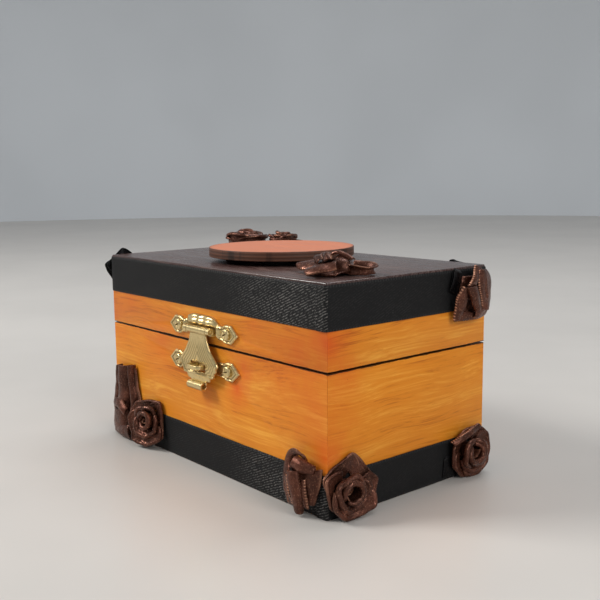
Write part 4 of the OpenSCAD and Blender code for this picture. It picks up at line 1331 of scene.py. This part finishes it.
def ridge(d, at, width):
    """Rounded ridge of height 1 along the line d = at."""
    return np.clip(1 - ((d - at) / width) ** 2, 0, 1)


def stamped(name, outline, height, back, hole=None):
    """Stamped sheet on the front face: a fine net inside the outline, pressed out by height(x, z, edge).

    Points are in millimetres from the hasp's pin, and the sheet's back lies at back from the wood.
    """
    pitch = settings().brass.net / MM
    work = bmesh.new()
    work.faces.new([work.verts.new((x, z, 0)) for x, z in outline])
    x0, z0, x1, z1 = hole or (0, 0, 0, 0)
    cuts = []
    for axis, way in enumerate(((1, 0, 0), (0, 1, 0))):
        along = [p[axis] for p in outline]
        cuts += [(at, way) for at in np.arange(min(along) + pitch / 2, max(along), pitch)]
    if hole:
        cuts += [(x0, (1, 0, 0)), (x1, (1, 0, 0)), (z0, (0, 1, 0)), (z1, (0, 1, 0))]
    for at, way in cuts:
        sheet = work.verts[:] + work.edges[:] + work.faces[:]
        bmesh.ops.bisect_plane(work, geom=sheet, plane_co=Vector(way) * at, plane_no=way)
    if hole:
        middles = [(face, face.calc_center_median()) for face in work.faces]
        inside = [face for face, at in middles if x0 < at.x < x1 and z0 < at.y < z1]
        bmesh.ops.delete(work, geom=inside, context="FACES")
    bmesh.ops.remove_doubles(work, verts=work.verts[:], dist=pitch * 0.12)
    bmesh.ops.recalc_face_normals(work, faces=work.faces[:])
    if sum(f.normal.z for f in work.faces) < 0:
        bmesh.ops.reverse_faces(work, faces=work.faces[:])
    work.verts.ensure_lookup_table()
    flat = np.array([(v.co.x, v.co.y) for v in work.verts])
    edge = segment_distance(flat, list(outline))
    if hole:
        edge = np.minimum(edge, segment_distance(flat, [(x0, z0), (x1, z0), (x1, z1), (x0, z1)]))
    # each height function also gives where shade is painted in the recesses
    tops, cavity = height(flat[:, 0], flat[:, 1], edge)
    # the sheet's edges are rounded over
    tops = tops - 0.22 * np.clip(1 - edge / 0.32, 0, 1) ** 2
    layer = work.verts.layers.float.new("cavity")
    for v, top, dark in zip(work.verts, tops, cavity):
        v.co.z = top
        v[layer] = float(dark)
    rim = [e for e in work.edges if e.is_boundary]
    grown = bmesh.ops.extrude_edge_only(work, edges=rim)["geom"]
    for v in (g for g in grown if isinstance(g, bmesh.types.BMVert)):
        v.co.z = back
    foot = [e for e in grown if isinstance(e, bmesh.types.BMEdge) and e.is_boundary]
    bmesh.ops.triangle_fill(work, edges=foot, use_beauty=True, use_dissolve=False)
    bmesh.ops.recalc_face_normals(work, faces=work.faces[:])
    for v in work.verts:
        v.co = Vector(FACES["front"](v.co.x + PIN.x, v.co.y + PIN.z, v.co.z)) * MM
    bmesh.ops.recalc_face_normals(work, faces=work.faces[:])
    mesh = bpy.data.meshes.new(name)
    work.to_mesh(mesh)
    work.free()
    obj = placed(name, mesh)
    smooth(obj, 50)
    return obj


def mirrored(half):
    """Whole outline from its right half, which runs from the middle's top to its bottom."""
    return half + [(-x, z) for x, z in reversed(half) if x > 0]


def lobed_half(pitch, node, before, after):
    """Right half of a plate that ends in a round lobe with a pointed tip; pitch is its screws' distance."""
    low, high = node_box(node)
    centre, tip = pitch / 2, (high.x - low.x) / 2
    arcs = []
    for start in (128, -70):
        angles = [math.radians(start - 58 * i / 6) for i in range(7)]
        arcs.append([(centre + LOBE * math.cos(a), LOBE * math.sin(a)) for a in angles])
    shoulder = centre + 2.5
    point = [(shoulder, LOBE), (tip, 0.25), (tip, -0.25), (shoulder, -LOBE)]
    return before + arcs[0] + point + arcs[1] + after


def lid_plate_height(x, z, edge):
    """Raised crown with side beads over a flat plate with beaded lobes."""
    ax = np.abs(x)
    lobe = ax > 11.2
    rim = ridge(edge, 0.55, 0.45) * 0.4 * lobe
    inner = ridge(edge, 1.55, 0.35) * 0.18 * lobe
    dome = np.clip(1 - (ax / 9.4) ** 6, 0, 1) * np.clip(1 - ((z - 3.3) / 2.4) ** 4, 0, 1)
    steps = ridge(z, 4.5, 0.7) * 0.25 + ridge(z, 2.7, 1.1) * 0.5
    waves = 0.28 * np.cos(ax * 1.35) * np.clip(1 - ax / 9.5, 0, 1)
    crown = dome * (0.9 + steps + waves)
    bead = np.clip(1 - ((ax - 10.6) / 1.0) ** 2 - ((z - 0.3) / 2.6) ** 4, 0, 1) * 1.1
    groove = ridge(ax, 9.2, 0.5) * dome
    under_crown = ridge(z, 1.5, 0.5) * (ax < 9.5)
    # painted shade: in the grooves inside the lobes' beads, beside the crown and under it
    dark = np.clip(ridge(edge, 1.05, 0.3) * lobe + groove + 0.6 * under_crown, 0, 1)
    return PLATE_FACE + rim + inner + crown + bead - 0.3 * groove, dark


# Right half of the bell from the pin down, as shares of its half width and of its length
FLAP_HALF = [
    (0.41, 0), (0.41, 0.05), (0.46, 0.18), (0.64, 0.36), (0.97, 0.55), (1, 0.6), (0.93, 0.645), (0.92, 0.7),
    (0.84, 0.74), (0.79, 0.82), (0.62, 0.84), (0.58, 0.9), (0.4, 0.92), (0.39, 0.985),
]

# Distance in from the bell's sides of the nested ridges and of the grooves between them, in millimetres
NEST_RIDGES = (1.9, 3.0, 4.1, 5.2, 6.3, 7.4)
NEST_GROOVES = (1.3, 2.45, 3.55, 4.65, 5.75, 6.85)


def flap_outline():
    """Right half of the bell, from the pin down, in millimetres from the pin."""
    low, high = node_box("hasp_flap")
    half_w = (high.x - low.x) / 2
    return [(s * half_w, -max(k * FLAP_LENGTH, 1.0)) for s, k in FLAP_HALF]


def flap_height(x, z, edge):
    """Ridges that follow the bell's sides, a cross ridge under the slot and a smooth neck."""
    sides = segment_distance(np.stack([np.abs(x), z], axis=1), flap_outline()[1:], closed=False)
    below = z < -15.9
    fade = np.clip((-2.6 - z) / 4.0, 0, 1) * np.clip((z + 17.4) / 0.5, 0, 1)
    nest = 0.4 * ridge(sides, 0.7, 0.5) + sum(0.26 * ridge(sides, at, 0.5) for at in NEST_RIDGES)
    nest = np.where(below, 0.3 * ridge(z, -16.6, 0.4), nest)
    # painted shade in the grooves between the nested ridges and along the cross ridge under the slot
    dark = sum(ridge(sides, at, 0.32) for at in NEST_GROOVES) * fade * ~below
    return FLAP_FACE + nest * fade, np.clip(dark * 0.6 + ridge(z, -16.0, 0.25) * 0.5, 0, 1)


def catch_plate_height(x, z, edge):
    """Flat plate with beaded lobes."""
    lobe = np.abs(x) > 11.5
    rim = ridge(edge, 0.55, 0.45) * 0.4 * lobe
    # painted shade in the groove inside the lobes' beads
    dark = ridge(edge, 1.1, 0.35) * lobe
    return PLATE_FACE + rim + 0.15 * ridge(edge, 1.6, 0.4) * lobe, dark


def bent_sheet(name, x0, x1, line, thickness):
    """Sheet brass from x0 to x1 on the front face; its section runs through points (up, out)."""
    rows = [[FACES["front"](x0 + (x1 - x0) * j / 4, up, out) for j in range(5)] for up, out in line]
    return ribbon_sheet(name, rows, thickness * MM, levels=0)


def roll(name, x0, x1, up, out, radii, start, end):
    """Rolled sheet brass on an axis along X, closed from the start angle to the end angle."""
    outer, inner = radii
    middle = (outer + inner) / 2
    steps = 40
    angles = [math.radians(start + (end - start) * i / steps) for i in range(steps + 1)]
    line = [(up + middle * math.sin(a), out + middle * math.cos(a)) for a in angles]
    obj = bent_sheet(name, x0, x1, line, outer - inner)
    apply_modifier(obj, "BEVEL", width=0.12 * MM, segments=2, limit_method="ANGLE", angle_limit=0.8)
    smooth(obj, 45)
    return obj


def darken_recess(piece):
    """Marks painted shade in the crosses of front screws: what lies under the head's top, near its axis."""
    low, high = (Vector(f(v.co[axis] for v in piece.data.vertices) for axis in range(3)) for f in (min, max))
    middle, reach = (low + high) / 2, (high.x - low.x) / 2 - (high.z - low.z) / 2
    layer = piece.data.attributes.new("cavity", "FLOAT", "POINT")
    for v in piece.data.vertices:
        side = math.copysign(reach, v.co.x - middle.x)
        off = math.hypot(v.co.x - middle.x - side, v.co.z - middle.z)
        deep = (v.co.y - low.y) / MM - 0.3
        layer.data[v.index].value = min(1, max(0, deep / 0.2)) if off < 1.5 * MM else 0.0


class KEEPSAKE_OT_hasp(bpy.types.Operator):
    """Stamps the hasp's plates and flap and fits its pin, staple and screws"""

    bl_idname = "keepsake.hasp"
    bl_label = "Hasp"

    def execute(self, context):
        self.lid_plate()
        self.flap()
        self.catch_plate()
        for node, body, width in (("hasp_pin", "lid", 0.08), ("hasp_staple", "base", 0.3)):
            piece = softened(node, width * MM, segments=3)
            self.finish(piece, node, body)
        for node, body in (("hasp_lid_screws", "lid"), ("hasp_catch_screws", "base")):
            piece = softened(node, 0.09 * MM, 50, 1, dissolve=False)
            darken_recess(piece)
            self.finish(piece, node, body)
        return {"FINISHED"}

    def finish(self, piece, node, body):
        paint(piece, brass())
        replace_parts(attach(piece, body), node)

    def lid_plate(self):
        top = node_box("hasp_lid_plate")[1].z - PIN.z
        before = [(0, top), (5.3, top), (8.2, top - 0.9), (9.6, top - 2.4), (11.0, 2.7), (12.2, 2.6)]
        after = [(12.2, -2.6), (10.2, -2.6), (9.0, -1.4), (0, -1.4)]
        outline = mirrored(lobed_half(30.5, "hasp_lid_plate", before, after))
        parts = [stamped("plate", outline, lid_plate_height, PLATE_BACK)]
        left, right = (corner.x for corner in node_box("hasp_pin"))
        web = [(PIN.z + up, out) for up, out in ((-1.25, 0.5), (-1.25, 1.2), (-1.2, 2.0), (-1.1, 2.5))]
        for x0, x1 in ((left, left + ROLL_WIDTH), (right - ROLL_WIDTH, right)):
            parts.append(roll("plate_roll", x0, x1, PIN.z, PIN_OUT, ROLL, -35, 250))
            parts.append(bent_sheet("plate_web", x0, x1, web, 0.6))
        self.finish(join("hasp_lid_plate_stamped", parts), "hasp_lid_plate", "lid")

    def flap(self):
        outline = mirrored([(0, -1.0)] + flap_outline()[1:])
        sheet = stamped("flap_sheet", outline, flap_height, FLAP_BACK, FLAP_SLOT)
        knuckle = roll("flap_roll", -5.9, 5.9, PIN.z, PIN_OUT, ROLL, -140, 170)
        tail = roll("flap_tail", -4.6, 4.6, PIN.z - FLAP_LENGTH, 3.7, TAIL_ROLL, 180, 470)
        self.finish(join("hasp_flap_stamped", [sheet, knuckle, tail]), "hasp_flap", "flap")

    def catch_plate(self):
        before = [(0, 2.3), (7.2, 2.3), (12.6, 2.7)]
        after = [(12.6, -2.7), (7.2, -2.3), (0, -2.3)]
        half = lobed_half(31.4, "hasp_catch_plate", before, after)
        outline = [(x, z + CATCH.z - PIN.z) for x, z in mirrored(half)]
        plate = stamped("catch", outline, catch_plate_height, PLATE_BACK)
        self.finish(join("hasp_catch_plate_stamped", [plate]), "hasp_catch_plate", "base")


class KEEPSAKE_OT_hinges(bpy.types.Operator):
    """Finishes the two butt hinges at the back"""

    bl_idname = "keepsake.hinges"
    bl_label = "Hinges"

    def execute(self, context):
        pieces = []
        for side in ("left", "right"):
            for part, body in (("lid_leaf", "lid"), ("base_leaf", "base"), ("pin", "base")):
                node = f"hinge_{side}_{part}"
                pieces.append((softened(node, 0.12 * MM, 30), node, body))
        for node, body in (("hinge_lid_screws", "lid"), ("hinge_base_screws", "base")):
            pieces.append((softened(node, 0.06 * MM, 50, 1, dissolve=False), node, body))
        for piece, node, body in pieces:
            paint(piece, brass())
            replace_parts(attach(piece, body), node)
        return {"FINISHED"}


# ---- Stage ----

# The camera's place in metres, and the ways that its frame's right, its frame's top and its back point
CAMERA_PLACE = (0.26216, -0.21429, 0.10924)
CAMERA_AXES = ((0.6477, 0.7619, -0.0099), (-0.1039, 0.1012, 0.9894), (0.7548, -0.6398, 0.1447))

# Name, place, height aimed at, size, power and colour of each lamp
LAMPS = [
    ("key_lamp", (-0.65, -0.72, 0.82), 0.03, (0.4, 0.4), 10.5, (1, 0.98, 0.95)),
    ("side_lamp", (0.95, -0.1, 0.6), 0.03, (0.5, 0.5), 4.4, (1, 0.98, 0.96)),
    ("top_lamp", (-0.1, 0.5, 1.1), 0.05, (0.7, 0.5), 5.0, (0.97, 0.98, 1)),
]
SKY_LOW = (0.6, 0.61, 0.62)
SKY_HIGH = (0.95, 0.96, 0.97)
SKY_STRENGTH = 0.42


class KEEPSAKE_OT_stage(bpy.types.Operator):
    """Sets the camera, the lamps, the pale floor and the backdrop"""

    bl_idname = "keepsake.stage"
    bl_label = "Stage"

    def execute(self, context):
        scene = context.scene
        scene.view_settings.view_transform = "Standard"
        self.camera(scene)
        self.lamps(scene)
        self.floor()
        return {"FINISHED"}

    def camera(self, scene):
        data = bpy.data.cameras.new("camera")
        data.lens = settings().stage.camera_lens
        data.sensor_width = 36
        camera = bpy.data.objects.new("camera", data)
        scene.collection.objects.link(camera)
        turn = Matrix(CAMERA_AXES).transposed()
        camera.matrix_world = Matrix.Translation(CAMERA_PLACE) @ turn.to_4x4()
        data.clip_start, data.clip_end = 0.01, 20
        scene.camera = camera

    def lamps(self, scene):
        for name, place, aim, size, power, tint in LAMPS:
            data = bpy.data.lights.new(name, "AREA")
            data.shape = "RECTANGLE"
            data.size, data.size_y = size
            data.energy, data.color = power, tint
            lamp = bpy.data.objects.new(name, data)
            scene.collection.objects.link(lamp)
            lamp.location = place
            lamp.rotation_euler = (Vector((0, 0, aim)) - Vector(place)).to_track_quat("-Z", "Y").to_euler()
        world = bpy.data.worlds.new("studio")
        scene.world = world
        world.use_nodes = True
        t = Tree(world.node_tree)
        background = world.node_tree.nodes["Background"]
        background.inputs["Strength"].default_value = SKY_STRENGTH
        height = t.axes(t.add("ShaderNodeTexCoord").outputs["Generated"])["Z"]
        sky = t.mix(t.span(height, -0.1, 0.7), linear(SKY_LOW), linear(SKY_HIGH))
        t.tree.links.new(sky, background.inputs["Color"])

    def floor(self):
        stage = settings().stage
        clear_selection()
        bpy.ops.mesh.primitive_plane_add(size=6, location=(0, 0, 0))
        floor = named("floor")
        plain = {"Roughness": 0.35, "Specular_IOR_Level": 0.35}
        paint(floor, clouded("floor_surface", stage.floor, (7, 3, 0.6), plain))
        clear_selection()
        # the backdrop stands behind the box as the camera sees it, and closes the room all round
        bpy.ops.mesh.primitive_cylinder_add(vertices=96, radius=1.9, depth=3.0, end_fill_type="NOTHING",
            location=(0, 0, 1.5))
        wall = named("backdrop")
        bpy.ops.object.mode_set(mode="EDIT")
        bpy.ops.mesh.select_all(action="SELECT")
        bpy.ops.mesh.flip_normals()
        bpy.ops.object.mode_set(mode="OBJECT")
        smooth(wall, 60)
        plain = {"Roughness": 0.9, "Specular_IOR_Level": 0.1}
        paint(wall, clouded("backdrop_surface", stage.wall, (2.5, 2, 0.5), plain))
        wall.visible_shadow = False
        wall.visible_diffuse = False


# ---- Panel and registration ----

# The order in which the box is dressed
STEPS = (
    KEEPSAKE_OT_wood,
    KEEPSAKE_OT_ribbon_bands,
    KEEPSAKE_OT_roses,
    KEEPSAKE_OT_leaves,
    KEEPSAKE_OT_plaque,
    KEEPSAKE_OT_hasp,
    KEEPSAKE_OT_hinges,
    KEEPSAKE_OT_stage,
)


class KEEPSAKE_PT_panel(bpy.types.Panel):
    """Lists the steps that dress the keepsake box"""

    bl_label = "Keepsake box"
    bl_idname = "KEEPSAKE_PT_panel"
    bl_space_type = "VIEW_3D"
    bl_region_type = "UI"
    bl_category = "Keepsake box"

    def draw(self, context):
        for step in STEPS:
            self.layout.operator(step.bl_idname, text=step.bl_label)


CLASSES = (
    KeepsakeWood,
    KeepsakeRibbon,
    KeepsakePlaque,
    KeepsakeBrass,
    KeepsakeStage,
    KeepsakeSettings,
    *STEPS,
    KEEPSAKE_PT_panel,
)


def register():
    for cls in CLASSES:
        bpy.utils.register_class(cls)
    bpy.types.Scene.keepsake = PointerProperty(type=KeepsakeSettings)


def unregister():
    del bpy.types.Scene.keepsake
    for cls in reversed(CLASSES):
        bpy.utils.unregister_class(cls)


def main():
    register()
    for step in STEPS:
        group, name = step.bl_idname.split(".")
        if getattr(getattr(bpy.ops, group), name)() != {"FINISHED"}:
            raise RuntimeError(f"{step.bl_label} did not finish")


if __name__ == "__main__":
    main()
